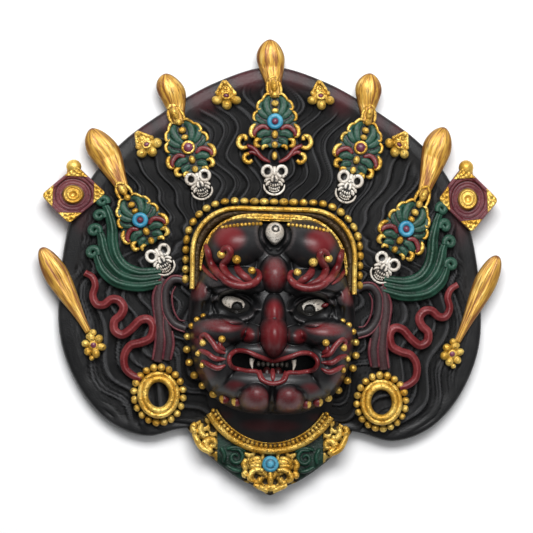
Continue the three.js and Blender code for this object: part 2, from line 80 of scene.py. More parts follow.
# Swellings: x, y, half-width, half-height, rise, softness (0.5 is a ball, 1 and more a soft mound)
SWELLINGS = [
    (23, 15, 19.5, 15.5, 11.5, 0.75),  # forehead
    (0, -4, 7.8, 10.5, 14, 0.6),  # knot between the brows
    (22, -8, 21, 8, 10, 0.6),  # brow
    (39.5, -14, 6.5, 7.5, 9, 0.6),  # temple
    (0, -22, 15, 15, 5.5, 1.0),  # root of the nose
    (0, -25.5, 6.8, 13, 14.5, 0.75),  # bridge of the nose
    (0, -36, 8, 12.2, 21, 0.55),  # its ball
    (11.2, -36.4, 7, 6, 10.5, 0.75),  # wing of the nose
    (29, -34.5, 17, 8, 14, 0.55),  # cheekbone
    (33, -48.5, 13.5, 18.5, 12.5, 0.5),  # cheek
    (9, -44.8, 14, 6.5, 8, 0.7),  # upper lip
    (0, -63.5, 34, 9.5, 8.5, 0.6),  # lower jaw
    (8.8, -70.2, 9, 9.6, 16, 0.5),  # lobe of the chin
]
SWELLING_FILLET = 2.2
# Welts: points of a curve, half-width, rise (below nothing for a crease)
WELTS = [
    ([(9.6, -22.6), (13, -18.4), (19, -15.2), (26.5, -14.6), (31.5, -17.8)], 1.6, 3.4),  # upper lid
    ([(30, -18.4), (28.4, -22.8), (21.5, -27), (15, -26.4), (10.4, -22.8)], 1.9, 3.6),  # lower lid
    ([(31.8, -21.4), (29.6, -26.8), (21.5, -30.8), (13.2, -29.4), (8.6, -24)], 0.9, -1.6),  # crease below
    ([(9, -14.6), (17, -12.2), (27, -11.6), (35, -13.4)], 0.9, -1.4),  # crease above
    ([(31.5, -17.5), (35, -19.5), (38.5, -24)], 1.1, 1.1),
    ([(30.5, -22), (33.5, -24), (36, -28)], 1.0, 1.1),
    ([(15.5, -37), (21, -41), (26, -44.5), (28.5, -51)], 1.3, -1.3),  # fold beside the mouth
    ([(0, -63.5), (0, -70), (0, -79)], 1.2, -2.6),  # cleft of the chin
    ([(13, -64.5), (17.5, -66), (18.5, -71)], 1.2, -1.3),
    ([(8.4, -11), (10, -4), (9.2, 3)], 1.4, -1.6),  # beside the knot
    ([(6.6, 22), (6.5, 15.5), (3.6, 11.4), (1.1, 8.6), (0.9, 4.5)], 0.75, 1.7),  # lids of the third eye
]
EYE = dict(
    x=20.2, y=-20.6, half_width=8.6, half_height=5.4, thick=4.5, turn=-9, top=39.6,
    socket=(11.5, 7.5), lined=(9.5, 6), floor=34.5,
)
EYE_WHITE = dict(x=21.4, y=-19.6, half_width=6.3, half_height=3.3, lean=-12)
PUPIL = dict(x=19.4, y=-22, radius=3.1, depth=2.6)
THIRD_EYE = dict(y=18.6, half_width=5.1, half_height=5.6, thick=5, top=43.5, ring_y=20.6, ring_radius=1.7)
THIRD_SOCKET_DEPTH = 3.2
THIRD_SOCKET = [(0, 5.5), (4.2, 8), (8.2, 13), (9, 19), (7, 25)]
MOUTH = dict(y=-50.6, half_width=23.4, upper=-49.6, lower=-56.2, floor=30, tongue=45.5)
LIP_LOOP = [
    (0, -50), (7.6, -47.6), (15, -45), (20.8, -45.6), (23.6, -49.4),
    (21.6, -53.8), (14.6, -55.6), (8.2, -56), (5.8, -60), (0, -61.8),
]
# Tufts of flame: points of a curve, half-width. Their gilt tips: x, y, radius
BROW_FLAMES = [
    ([(37, 14.5), (35.4, 8), (33.6, 1), (29.6, -5), (23, -8.6)], 2.2),
    ([(28.2, 5.4), (27.8, 8.2), (25.4, 9.4), (23.8, 7),
      (25.4, 3.4), (27.4, -0.4), (24, -5.8), (17, -8.6)], 2.1),
    ([(20, 1.4), (19.6, -1.6), (16.8, -5), (12, -7.6)], 2.2),
    ([(30.5, -3.6), (26, -8.2), (19, -10.4), (12.4, -9.4), (8.4, -6), (8.6, -2.6), (11.2, -1.4)], 2.2),
    ([(39.6, 4.8), (38.4, 0), (35, -4.6), (30.4, -8)], 1.1),
]
BROW_TIPS = [(12.2, -2.2, 2.2), (20.4, 3.4, 2.5), (28.6, 5.8, 2.3)]
CHEEK_FLAMES = [
    ([(37.6, -41.2), (38.4, -38.4), (36, -37.2), (32.6, -40.8), (29.6, -45), (25.4, -46.6)], 1.6),
    ([(27.6, -39.6), (28.6, -42.8), (25.6, -45)], 1.4),
    ([(40, -47), (38.6, -45.8), (35, -47), (31, -49.5), (25.4, -49.6)], 1.5),
    ([(37.6, -53), (37.2, -51.4), (33.5, -53.3), (29.5, -54.6), (25.4, -52.8)], 1.5),
]
CHEEK_TIPS = [(37.6, -41.6, 1.8), (27.6, -39, 2.0), (40, -47.4, 1.5), (37.6, -53.4, 1.5)]
# Beads down the jaw: x, y, radius
JAW_BEADS = [
    (38, -27.3, 1.4), (41.4, -29.3, 1.5), (44, -32.8, 1.6), (46, -38.7, 1.8), (46.2, -45.7, 1.9),
    (44.8, -52.6, 1.9), (42, -59.4, 1.9), (37.4, -64.8, 1.9), (31.6, -69, 2.0), (25.8, -71.2, 2.6),
    (19.4, -72.2, 2.7),
]
JAW_BEADS_TOP = 40

HEADBAND = dict(half_width=43.4, top=31.2, foot=-13, corner=24)
BAND_BED = dict(half_width=41.2, top=29, foot=-12, corner=25)
INNER_BAND = dict(half_width=39, top=26.6, foot=-3, corner=27)
INNER_LEVEL = 31.6
BAND_BEADS = dict(half_width=46.8, top=35.2, foot=-8, corner=25)
BEAD_PITCH = 5.3

# The crown's finials: base, lean, distances along it to the jewel and the petal's foot and tip,
# the petal's width and bend, and the jewel's kind
FINIALS = [
    dict(base=(0, 38.5), lean=0, jewel=40, foot=52, tip=84.6, width=15.2, bend=0, kind="curled"),
    dict(base=(37, 35.5), lean=18, jewel=30.5, foot=43, tip=71.5, width=14.6, bend=-4, kind="garnet"),
    dict(base=(55.5, -6), lean=29, jewel=33.2, foot=50, tip=90.5, width=16, bend=-3.5, kind="plain"),
]
SKULL_ALONG = 8.5
LOW_PETAL = dict(feet=((100, -38.5), (97.4, -39.5)), tip=(123.4, 8.4), width=12.6)
LEFT_SKEW = 2.2  # the left petals' tips lean further out than the right ones
PETAL_TIP_HEIGHT = 9
# Right half of a jewel, across and along its finial from its middle. Rods are points, half-width,
# the shares of it left at start and end, and lift
BOSS_HALF = [(0, 15), (5.5, 12.5), (9.5, 7), (11.6, 0), (11, -5.5), (8, -9.5), (4.5, -13), (0, -14.5)]
JEWEL_LEAVES = [
    ([(1.8, 2.5), (4.2, 6.5), (4.6, 10.5), (2.6, 13.5)], 2.0, 0.5, 0.4, 2.6),
    ([(3.6, 1.5), (7.2, 4.6), (8.6, 8.2), (6.4, 10.4)], 1.8, 0.5, 0.4, 2.3),
    ([(2.2, -6.5), (6, -6.2), (9.2, -8.6)], 2.0, 0.6, 0.5, 2.4),
    ([(2, -10), (5, -10.6), (6.6, -13)], 1.6, 0.6, 0.4, 2.0),
    ([(5, -1.4), (8.4, 0.4), (10.6, 2.6)], 1.2, 0.6, 0.4, 2.4),
]
JEWEL_EDGES = [
    ([(2.2, 14.6), (4.2, 14.9), (6, 13), (7.4, 10.6)], 0.8, 0.35, 0.35, 3.2),
    ([(6.2, 12), (8.6, 10.4), (9.6, 7.4), (8.4, 6.4), (7.6, 7.6)], 0.85, 0.35, 0.35, 3.2),
    ([(8.6, 6), (11, 4.4), (11.4, 1.4), (10, 0.4)], 0.9, 0.35, 0.35, 2.8),
    ([(10.3, -1.2), (12.4, -3.4), (12.8, -6.6), (11.2, -8.2), (10.2, -6.6)], 1.25, 0.35, 0.35, 2.4),
    ([(7.2, -9.4), (9.8, -10), (10, -12.8), (7.6, -13.4)], 1.35, 0.35, 0.35, 2.2),
    ([(3.4, -13.4), (5.8, -13.2), (6.6, -15.4)], 1.1, 0.35, 0.35, 2.0),
    ([(3.4, 14.5), (3.6, 18.5), (2.6, 22.6)], 0.9, 0.35, 0.35, 3.0),
]
JEWEL_CAP = [([(-2.6, 22.4), (0, 24.4), (2.6, 22.4)], 0.9, 0.8, 0.8, 3.0)]
JEWEL_ARM = [([(3.2, -4.4), (6, -2.6), (8.6, -3.4), (10.8, -5.6), (11, -8)], 1.35, 0.7, 0.5, 3.2)]
CURL_STEMS = [
    ([(2.4, -22), (7, -19.5), (11, -14.8), (15, -13)], 1.3, 0.5, 0.9, 2.2),
    ([(8.6, -18.4), (11.6, -16.6), (14, -17)], 1.1, 0.5, 0.9, 2.0),
]
CURL_HEADS = [
    ([(14, -13.6), (17.6, -14.2), (19.6, -11.6), (18.4, -8.4), (15.8, -8), (15.4, -10.2)],
     1.35, 0.6, 0.8, 2.2),
    ([(13.2, -17.2), (15.8, -18), (16.2, -20.6), (13.8, -22.2), (12, -20.8)], 1.25, 0.6, 0.8, 2.0),
]
# Beads down a jewel's middle: along, half-width, half-length
JEWEL_SPINE = [
    (14.5, 1.9, 2.0), (9.8, 2.1, 1.8), (5.8, 2.0, 1.6), (-7, 1.8, 2.3), (-12.6, 1.7, 2.0), (19.3, 1.9, 3.6),
]
CURL_BEAD = [(-18.6, 1.6, 2.4)]
SKULL_RIDGES = [
    ([(0.5, 2.4), (1.3, 0.6), (1.0, -1)], 0.8, 0.8, 0.6, 3.1),  # nose
    ([(2.2, 1.2), (4.0, 0.2), (5.2, -1.2)], 0.85, 0.8, 0.6, 2.7),  # cheekbone
    ([(2.2, -0.8), (3.6, -1.6), (4.4, -3.2)], 0.7, 0.8, 0.6, 2.6),  # upper jaw
    ([(5.6, -2.4), (5.0, -5.2), (2.6, -7.4), (0, -8)], 0.6, 0.5, 1.0, 1.9),  # lower jaw
]
SKULL_BROW = [([(0, 7.2), (0, 5.2), (0, 2.6)], 1.2, 0.6, 0.9, 3.1)]

# Ornaments on the hair
TREFOILS = [(25.5, 92.3, 0), (68, 66, 35)]  # x, y, lean
TREFOIL_HALF = [(0, 8), (1.8, 5.2), (3.8, 2.6), (5.2, -0.8), (3.6, -3.6), (0, -3.4)]
TREFOIL_BEADS = [
    (-5, -2.2, 2.6), (5, -2.2, 2.6), (0, -4.6, 2.9), (-2.6, -0.4, 1.7), (2.6, -0.4, 1.7),
    (-4.4, 1.6, 1.3), (4.4, 1.6, 1.3), (-2.9, 4.2, 1.1), (2.9, 4.2, 1.1), (0, 7.2, 1.5), (0, 4, 1.3),
]
ROSETTES = [(98, -43.5), (95.4, -45)]  # the right one and the left one
TABLET = dict(x=106.5, y=38, width=26, height=22.5, thick=6, turn=42)
EARRING = dict(x=60, y=-70.5, rx=9, ry=10.2, beads=20, bead=2.1)
# Dark strips of ears and straps: points, half-width, share of maroon
EAR_STRIPS = [
    ([(58.6, -8), (60.6, -14), (61.2, -22), (60, -32), (59.5, -42), (60.8, -53)], 2.9, 0.36),
    ([(57, -27), (56.4, -34), (55, -42), (56.2, -52)], 2.5, 0.3),
    ([(45, -11), (49.4, -8.4), (54, -8.8), (57.2, -13.4),
      (57.6, -20), (56, -27), (52, -32.2), (46, -34.4)], 2.3, 0.22),
]
EAR_LINES = [
    ([(59, -6.5), (62.2, -12), (64, -19), (62.7, -30.4), (62.1, -41), (63.6, -52)], 0.85),
    ([(45.4, -9), (49.2, -6.6), (54.6, -7), (58.8, -12.6),
      (59.4, -20), (57.8, -28), (53, -33.9), (46.6, -36.4)], 0.7),
    ([(58, -28), (58.2, -34), (57.3, -42), (58.2, -51.5)], 0.85),
    ([(52, -12), (53.8, -16.5), (53, -24), (50, -29.6), (46.6, -30.4)], 0.55),
    ([(53.4, -36), (52.6, -43.5), (54, -51.5)], 0.8),
]
RIBBON = [
    (100.6, -6), (96.6, -8.6), (95, -13), (96.2, -18.5), (94.2, -23), (90.3, -23.3), (86.2, -20.3),
    (82.2, -20.7), (79.6, -24.4), (81, -28.5), (84.4, -32), (84.2, -36.8), (80.2, -39), (75.5, -35.9),
    (70.7, -31), (66, -30.4), (63.6, -34.1), (64.9, -40), (69.6, -42.8), (75.5, -44.7), (78.8, -50.2),
    (78.2, -56.8), (74.1, -60.7), (69.6, -62),
]
# Ribs of a plume: points, half-width. Their rolled heads: x, y, radius
PLUMES = [
    ([(60, -4.4), (71.3, -5.4), (79.4, -2.6), (84, 3), (86, 10), (86.6, 19), (88.6, 27), (90.2, 31)], 3.1),
    ([(60, -7.4), (71.3, -9), (81, -6.8), (87.4, -1), (90.6, 6), (92, 12.6), (93.4, 16.4)], 3.2),
    ([(59.5, -10.2), (71.3, -12.6), (83, -11), (90.4, -5.6), (93.4, 0), (94.6, 4)], 3.2),
]
PLUME_ROLLS = [(91.6, 33.4, 3.0), (93.2, 25, 3.0), (95.8, 16.6, 3.2), (96.6, 4.6, 3.3)]

# The gorget: radii about its centre of the throat, the plate's inner edge, line, beads and tube
GORGET = dict(centre=-61.5, throat=35.6, inner=33.8, line=33, beads=34.7, tube=37.4, height=12, disc=-106)
GORGET_EDGE = [(7, -118.8), (17, -114.2), (28, -106.4), (36.5, -98.6), (40.8, -93), (44.5, -87.5)]


# Numbers and curves

def mix(a, b, t):
    return a + (b - a) * t


def smooth(t):
    """Rises from 0 to 1 with a level start and end."""
    t = np.clip(t, 0, 1)
    return t * t * (3 - 2 * t)


def smooth_max(a, b, k):
    """The greater of two heights, with a fillet of size k where they cross."""
    return np.maximum(a, b) + np.maximum(k - np.abs(a - b), 0) ** 2 / (4 * k)


def bell(value, middle, width):
    """1 at the middle, falling away on both sides."""
    return np.exp(-(((value - middle) / width) ** 2))


def curve(points, count, closed=False):
    """Evenly spaced points on a Catmull-Rom curve through the given ones, measured by length."""
    knots = np.asarray(points, float)
    if closed:
        knots = np.vstack([knots[-1:], knots, knots[:2]])
    else:
        knots = np.vstack([2 * knots[0] - knots[1], knots, 2 * knots[-1] - knots[-2]])
    t = np.linspace(0, 1, 24, endpoint=False)[None, :, None]
    a, b, c, d = (knots[i:len(knots) - 3 + i, None, :] for i in range(4))
    dense = 0.5 * (2 * b + (c - a) * t + (2 * a - 5 * b + 4 * c - d) * t**2 + (3 * b - a - 3 * c + d) * t**3)
    dense = np.vstack([dense.reshape(-1, knots.shape[1]), knots[-2:-1]])
    run = np.r_[0, np.cumsum(np.linalg.norm(np.diff(dense, axis=0), axis=1))]
    stops = np.linspace(0, run[-1], count, endpoint=not closed)
    return np.column_stack([np.interp(stops, run, dense[:, k]) for k in range(knots.shape[1])])


def length_of(points):
    return np.linalg.norm(np.diff(curve(points, 60), axis=0), axis=1).sum()


def both_halves(half):
    """A curve's right half from its top down, and its left half back up."""
    start = 1 if half[0][0] == 0 else 0
    stop = len(half) - 1 if half[-1][0] == 0 else len(half)
    return list(half) + [(-x, y) for x, y in half[start:stop]][::-1]


def turned(across, along, degrees):
    """A place turned clockwise."""
    a = math.radians(degrees)
    return across * math.cos(a) + along * math.sin(a), along * math.cos(a) - across * math.sin(a)


def placer(x, y, lean, side=1):
    """Turns an ornament's own places, across and along, into places on the mask."""
    def at(across, along):
        dx, dy = turned(across, along, lean)
        return side * (x + dx), y + dy
    return at


def arch(half_width, top, foot, corner):
    """Points of an arch with straight legs and round shoulders, from right foot to left foot."""
    a = np.linspace(0, math.pi / 2, 7)
    shoulder = [(half_width - corner * (1 - math.cos(t)), top - corner * (1 - math.sin(t))) for t in a]
    legs = [(half_width, y) for y in np.linspace(foot, top - corner, 4)[:-1]]
    level = [(x, top) for x in np.linspace(half_width - corner, 0, 4)[1:-1]]
    right = legs + shoulder + level
    return right + [(0, top)] + [(-x, y) for x, y in right][::-1]


def spiral(x, y, radius, start, turns, inner=0.25):
    """Points winding in to (x, y) from a radius, starting at an angle in degrees."""
    t = np.linspace(0, 1, 10)
    a = np.radians(start) + TAU * turns * t
    r = radius * mix(1, inner, t)
    return [(x + ri * math.cos(ai), y + ri * math.sin(ai)) for ri, ai in zip(r, a)]


# Curves on the gorget, on its right half
GORGET_SCROLLS = [
    [(41.5, -86.5), (40.6, -91.5), (37.4, -97.2), (33.6, -99.4)] + spiral(31.6, -95.6, 3.6, -80, 1.15),
    [(36.8, -84.8), (37.8, -88.6), (35.6, -91.4), (33.2, -90.6)],
    [(40, -84.6), (41.6, -87.6), (39.4, -90.2)],
    [(36.4, -93.8), (34.4, -95.6)],
]
GORGET_LEAVES = [
    spiral(18.8, -102.6, 4.8, 60, 1.3, 0.2),
    [(26.6, -97.4), (24.8, -101.6), (25.2, -105.6)],
    [(23.4, -98.2), (20, -97.4), (16.4, -97.6), (13.4, -99.4)],
    [(23.8, -107.2), (19.6, -109.4), (16, -110)],
]
GORGET_LOBES = [
    [(5.2, -103), (8.4, -103.4), (11.4, -105.4)],
    [(5, -107.4), (8.4, -106.8), (11.2, -107.6)],
    [(3.8, -109.6), (7, -109), (10.2, -110.8), (11.2, -113.8), (9, -115.6)],
    [(5.2, -113.2), (6.4, -115.6), (9, -116)],
    [(13, -103.4), (14.4, -106.4), (13, -109.4)],
    [(12.2, -110.4), (14.2, -111.4), (13, -113.4)],
    [(1.2, -120.6), (4.4, -119), (9, -117)],
]


# Heights of the mask's surface

OUTLINE = curve(both_halves(HALF_OUTLINE), 720, closed=True)


def spokes():
    """Angles and lengths of the outline's spokes about the plaque's middle, in order of angle."""
    reach = OUTLINE - (0, PLAQUE["middle"])
    angles = np.arctan2(reach[:, 1], reach[:, 0])
    order = np.argsort(angles)
    return angles[order], np.hypot(*reach.T)[order]


SPOKE_ANGLES, SPOKE_LENGTHS = spokes()


def outline_radius(angle):
    return np.interp(angle, SPOKE_ANGLES, SPOKE_LENGTHS, period=TAU)


def dome(share):
    return PLAQUE["edge"] + PLAQUE["rise"] * np.clip(1 - share**2, 0, 1)


def plaque_share(x, y):
    """Share of the way from the plaque's middle to its outline, more than 1 outside it."""
    dy = y - PLAQUE["middle"]
    return np.hypot(x, dy) / outline_radius(np.arctan2(dy, x))


def plaque_height(x, y):
    """Rim, plus a dome over the share of the way to the outline."""
    return dome(plaque_share(x, y))


def ripple(x, y, size, seed=0.0):
    """Soft irregular waves of about a given size, between -1 and 1: a sum of four crossed sines."""
    u, v = x / size, y / size
    return (
        np.sin(1.7 * u + 0.9 * v + seed) + np.sin(-1.1 * u + 1.9 * v + 2 * seed + 1.3)
        + np.sin(2.6 * u - 0.7 * v + 3 * seed + 0.5) + np.sin(0.6 * u + 2.9 * v + 5 * seed + 2.1)
    ) / 4


def lock_phase(x, y):
    """Counts the locks of hair, rising by 1 from lock to lock. Over the brow they fan out from a
    point far below, at the sides they turn to run down along the rim and slowly out to it. They all
    wave on the way, but hardly where they turn."""
    dy = y - PLAQUE["middle"]
    ax = np.abs(x)
    r = np.hypot(x, dy)
    swing = np.arctan2(ax, dy)
    sweep = smooth((swing - 0.75) / 0.9)
    fan = 128 / PLAQUE["lock"] * np.arctan2(ax, y - PLAQUE["fan"])
    rings = (r - 15 * (swing - 0.85)) / PLAQUE["lock"] + 1
    along = mix(np.hypot(x, y - PLAQUE["fan"]), 100 - 80 * swing, sweep)
    side = np.tanh(x / 15)
    calm = 1 - 0.75 * smooth((swing - 0.6) / 0.3) * (1 - smooth((swing - 1.35) / 0.3))
    wave = (0.55 - 0.1 * sweep) * calm * np.sin(along / 5.1 + 0.9 * side + 1.1 * ripple(x, y, 34, 0.2))
    return mix(fan, rings, sweep) + wave + 0.25 * ripple(x, y, 18, 1.2) + 0.4 * ripple(x, y, 38, 1.7)


def hair_height(x, y):
    """The dome with overlapping locks: each rises slowly across and drops to the next, and some
    have one or two finer grooves near the crest. They fade out unevenly before the smooth rim."""
    phase = lock_phase(x, y)
    swing = np.arctan2(np.abs(x), y - PLAQUE["middle"])
    ends = PLAQUE["rim"] - 0.02 * np.sin(3 * swing) + 0.08 * smooth((swing - 1.9) / 0.4)
    ends = ends + 0.03 * ripple(x, y, 8, 0.6)
    carved = 1 - smooth((plaque_share(x, y) - ends + 0.05) / 0.08)
    across = phase % 1
    lock = np.floor(phase)
    rise = across ** 1.15 * (1 - smooth((across - 0.86) / 0.14))
    first = bell(across - 0.08 * np.sin(5 * lock), 0.5, 0.055) * smooth(np.sin(2.3 * lock) + 0.9)
    second = bell(across, 0.72, 0.05) * smooth(np.sin(4.1 * lock + 1) + 0.6)
    strength = 0.8 + 0.22 * np.sin(2.4 * lock) + 0.3 * ripple(x, y, 13, 2.2)
    cut = (1 - rise) * strength + 0.2 * first + 0.16 * second
    return plaque_height(x, y) - PLAQUE["depth"] * cut * carved + 0.3 * carved


def face_width(y):
    return FACE["half_width"] * mix(1, FACE["forehead"], smooth((y - FACE["y"]) / 25))


def face_power(side):
    return np.where(side > 0, FACE["brow"], FACE["jaw"])


def face_share(x, y):
    """Share of the way from the middle of the face to its outline."""
    power = face_power(y - FACE["y"])
    across = np.abs(x / face_width(y)) ** power
    return (across + np.abs((y - FACE["y"]) / FACE["half_height"]) ** power) ** (1 / power)


def distance_to(x, y, path):
    """Distance in plan from places to a curve given as points."""
    best = np.full(np.shape(x), 1e9)
    for (ax, ay), (bx, by) in zip(path[:-1], path[1:]):
        dx, dy = bx - ax, by - ay
        t = np.clip(((x - ax) * dx + (y - ay) * dy) / (dx * dx + dy * dy + 1e-12), 0, 1)
        best = np.minimum(best, np.hypot(x - ax - t * dx, y - ay - t * dy))
    return best


def welt(x, y, points, half_width, rise):
    """A rounded ridge or crease along a curve, mirrored left and right."""
    return rise * bell(distance_to(np.abs(x), y, curve(points, 18)), 0, half_width)


def mouth_depth(x, y):
    """1 inside the mouth, falling to 0 at the lips: the upper edge arches up towards the corners and
    the lower edge sags in the middle."""
    ax = np.abs(x)
    upper = MOUTH["upper"] + 4 * bell(ax, 17, 7.5)
    lower = MOUTH["lower"] + 1.2 * smooth((ax - 8) / 14)
    span = np.clip(1 - (ax / MOUTH["half_width"]) ** 6, 0, 1) ** 0.5
    inside = np.minimum(mix(MOUTH["y"], upper, span) - y, y - mix(MOUTH["y"], lower, span))
    return np.where(ax < MOUTH["half_width"], smooth((inside + 0.3) / 1.2), 0)


def face_height(x, y, cut=True):
    """A dome, swellings run together, welts and creases, and, if cut, the sockets and the mouth."""
    share = np.clip(face_share(x, y), 0, 1)
    lift = np.zeros(np.shape(x))
    for sx, sy, rx, ry, rise, softness in SWELLINGS:
        d2 = ((np.abs(x) - sx) / rx) ** 2 + ((y - sy) / ry) ** 2
        inside = np.clip(1 - d2, 0, 1) ** softness
        share_of_rise = np.where(d2 < 1, inside, 1.2 * (1 - np.sqrt(d2)))
        lift = smooth_max(lift, rise * share_of_rise, SWELLING_FILLET)
    z = FACE["foot"] + FACE["rise"] * (1 - share**5) ** 0.5 + lift * smooth((1 - share) / 0.07)
    if cut:
        eye = np.hypot((np.abs(x) - EYE["x"]) / EYE["socket"][0], (y - EYE["y"]) / EYE["socket"][1])
        z = mix(z, np.minimum(z, EYE["floor"]), smooth((1.2 - eye) / 0.45))
    for points, half_width, rise in WELTS:
        z = z + welt(x, y, points, half_width, rise)
    if cut:
        z = mix(z, np.minimum(z, MOUTH["floor"]), mouth_depth(x, y))
        socket = third_socket(x, y)
        z = mix(z, z - THIRD_SOCKET_DEPTH, socket) + 0.9 * bell(socket, 0.35, 0.3)
    return np.where(share < 1, z, FACE["foot"])


def third_socket(x, y):
    """1 inside the drop-shaped socket of the third eye, falling to 0 over its edge."""
    edge = curve(THIRD_SOCKET, 40)
    half = np.interp(y, edge[:, 1], edge[:, 0], left=-3, right=-3)
    return smooth((half - np.abs(x) + 0.5) / 1.4)


def uncut(x, y):
    return face_height(x, y, cut=False)


def ground(x, y):
    """The plaque or the face, whichever stands higher, without its fine carving."""
    hair = plaque_height(x, y)
    return np.where(face_share(x, y) < 1, np.maximum(uncut(x, y), hair), hair)


def flat_at(height):
    """A level floor for what stands on it."""
    return lambda x, y: np.full(np.shape(x), float(height))


def raised(floor, lift):
    """A floor lifted, or lowered, by as much everywhere."""
    return lambda x, y: floor(x, y) + lift


def as_cast(points):
    """The hand-made casting isn't quite even: inside the rim its carving leans to the right, and
    below the crown the right side hangs a little lower than the left."""
    x, y = points[:, 0], points[:, 1]
    inner = 1 - smooth((plaque_share(x, y) - 0.8) / 0.3)
    low = 1 - smooth((y - 15) / 50)
    moved = points.copy()
    moved[:, 0] += (CAST["shift"] + CAST["lean"] * y) * inner
    moved[:, 1] -= CAST["sag"] * (1 + inner) * x * low
    return moved


# Closed surfaces

class Form:
    """Points and triangles of closed surfaces, with painted marks: one number a point, by name."""

    def __init__(self, points, triangles, marks=None):
        self.points = np.asarray(points, float)
        self.triangles = np.asarray(triangles, int)
        self.marks = marks or {}

    def outward(self):
        """The same form with its triangles facing out, judged by its signed volume."""
        a, b, c = (self.points[self.triangles[:, k]] for k in range(3))
        if np.einsum("ij,ij->i", a, np.cross(b, c)).sum() < 0:
            self.triangles = self.triangles[:, ::-1]
        return self


def join(forms):
    """Several forms as one. A mark that a form lacks is 0 there."""
    names = sorted({name for form in forms for name in form.marks})
    starts = np.cumsum([0] + [len(form.points) for form in forms])
    marks = {
        name: np.concatenate([form.marks.get(name, np.zeros(len(form.points))) for form in forms])
        for name in names
    }
    triangles = np.vstack([form.triangles + start for form, start in zip(forms, starts)])
    return Form(np.vstack([form.points for form in forms]), triangles, marks)


def mirrored(form):
    return Form(form.points * (-1, 1, 1), form.triangles[:, ::-1], dict(form.marks))


def pair(form):
    return join([form, mirrored(form)])


def marked(form, **marks):
    """The form with constant marks, or marks worked out for each point."""
    for name, value in marks.items():
        form.marks[name] = np.broadcast_to(np.asarray(value, float), len(form.points)).copy()
    return form


def shell(rings, start, end, marks=None):
    """A closed surface through rings of points, one above the next, with a pole at each end.
    Marks hold one number for each point of the rings; a pole takes its ring's mean."""
    rings = np.asarray(rings, float)
    count, sides = rings.shape[:2]
    points = np.vstack([[start], rings.reshape(-1, 3), [end]])
    k = np.arange(sides)
    after = (k + 1) % sides
    low = (1 + sides * np.arange(count - 1))[:, None]
    a, b, c, d = low + k, low + after, low + sides + after, low + sides + k
    walls = np.stack([a, b, c, a, c, d], -1).reshape(-1, 3)
    last = len(points) - 1
    top = 1 + (count - 1) * sides
    foot_fan = np.column_stack([np.zeros(sides, int), 1 + after, 1 + k])
    top_fan = np.column_stack([np.full(sides, last), top + k, top + after])
    kept = {
        name: np.r_[value[0].mean(), np.asarray(value, float).ravel(), value[-1].mean()]
        for name, value in (marks or {}).items()
    }
    return Form(points, np.vstack([foot_fan, walls, top_fan]), kept).outward()


def bar(points, radius, floor=plaque_height, lift=0.0, tall=1.0, sides=12, step=0.8, flutes=0, groove=0.3,
        marks=None):
    """A rod laid along a plane curve: half-width radius(t), height tall times that, its middle at
    the floor, evened out over five stations, plus lift. flutes cuts that many grooves along its
    top."""
    stations = max(8, int(length_of(points) / step))
    path = curve(points, stations)
    t = np.linspace(0, 1, stations)
    middle = floor(path[:, 0], path[:, 1])
    middle = np.convolve(np.pad(middle, 2, mode="edge"), np.ones(5) / 5, mode="valid") + lift
    along = np.gradient(path, axis=0)
    along /= np.linalg.norm(along, axis=1, keepdims=True) + 1e-12
    across = np.column_stack([-along[:, 1], along[:, 0]])
    r = np.array([radius(v) for v in t])
    a = TAU * np.arange(sides) / sides
    out, up = np.cos(a), np.sin(a)
    cut = 1 - groove * (0.5 - 0.5 * np.cos(math.pi * flutes * (out + 1))) * (up > 0) if flutes else 1
    rings = np.empty((stations, sides, 3))
    rings[:, :, :2] = path[:, None, :] + across[:, None, :] * (r[:, None] * out)[..., None]
    rings[:, :, 2] = middle[:, None] + r[:, None] * tall * (up * cut)
    start, end = ([*path[i], middle[i]] for i in (0, -1))
    # The low mark is painted shade on the rod's underside.
    made = {"low": np.broadcast_to(1 - smooth((up + 0.35) / 0.8), (stations, sides))}
    for name, of_t in (marks or {}).items():
        made[name] = np.broadcast_to(np.array([of_t(v) for v in t])[:, None], (stations, sides))
    return shell(rings, start, end, made)


def even(radius):
    """Half-width of a rod that is the same all along."""
    return lambda t: radius


def tapered(radius, start=0.35, end=0.35):
    """Half-width of a rod that is full in its middle and thinner at its ends."""
    def at(t):
        rising = mix(start, 1, math.sin(min(3 * t, 1) * math.pi / 2))
        falling = mix(end, 1, math.sin(min(3 * (1 - t), 1) * math.pi / 2))
        return radius * min(rising, falling)
    return at


def ball(x, y, z, radii, turn=0.0, rows=9, sides=14):
    """An ellipsoid, turned clockwise in plan. Its low mark, painted shade, rises towards its
    underside.
    """
    rx, ry, rz = np.broadcast_to(radii, 3)
    polar = math.pi * (np.arange(rows) + 1) / (rows + 1)
    a = TAU * np.arange(sides) / sides
    u = rx * np.sin(polar)[:, None] * np.cos(a)
    v = ry * np.sin(polar)[:, None] * np.sin(a)
    dx, dy = turned(u, v, turn)
    dz = np.broadcast_to((-rz * np.cos(polar))[:, None], u.shape)
    rings = np.stack([x + dx, y + dy, z + dz], -1)
    low = 1 - smooth((dz / rz + 0.25) / 0.75)
    return shell(rings, (x, y, z - rz), (x, y, z + rz), {"low": low})


def on_hair(x, y, lift, radii, turn=0.0, **grid):
    """An ellipsoid whose middle stands at a lift above the dome of hair."""
    return ball(x, y, float(plaque_height(x, y)) + lift, radii, turn, **grid)


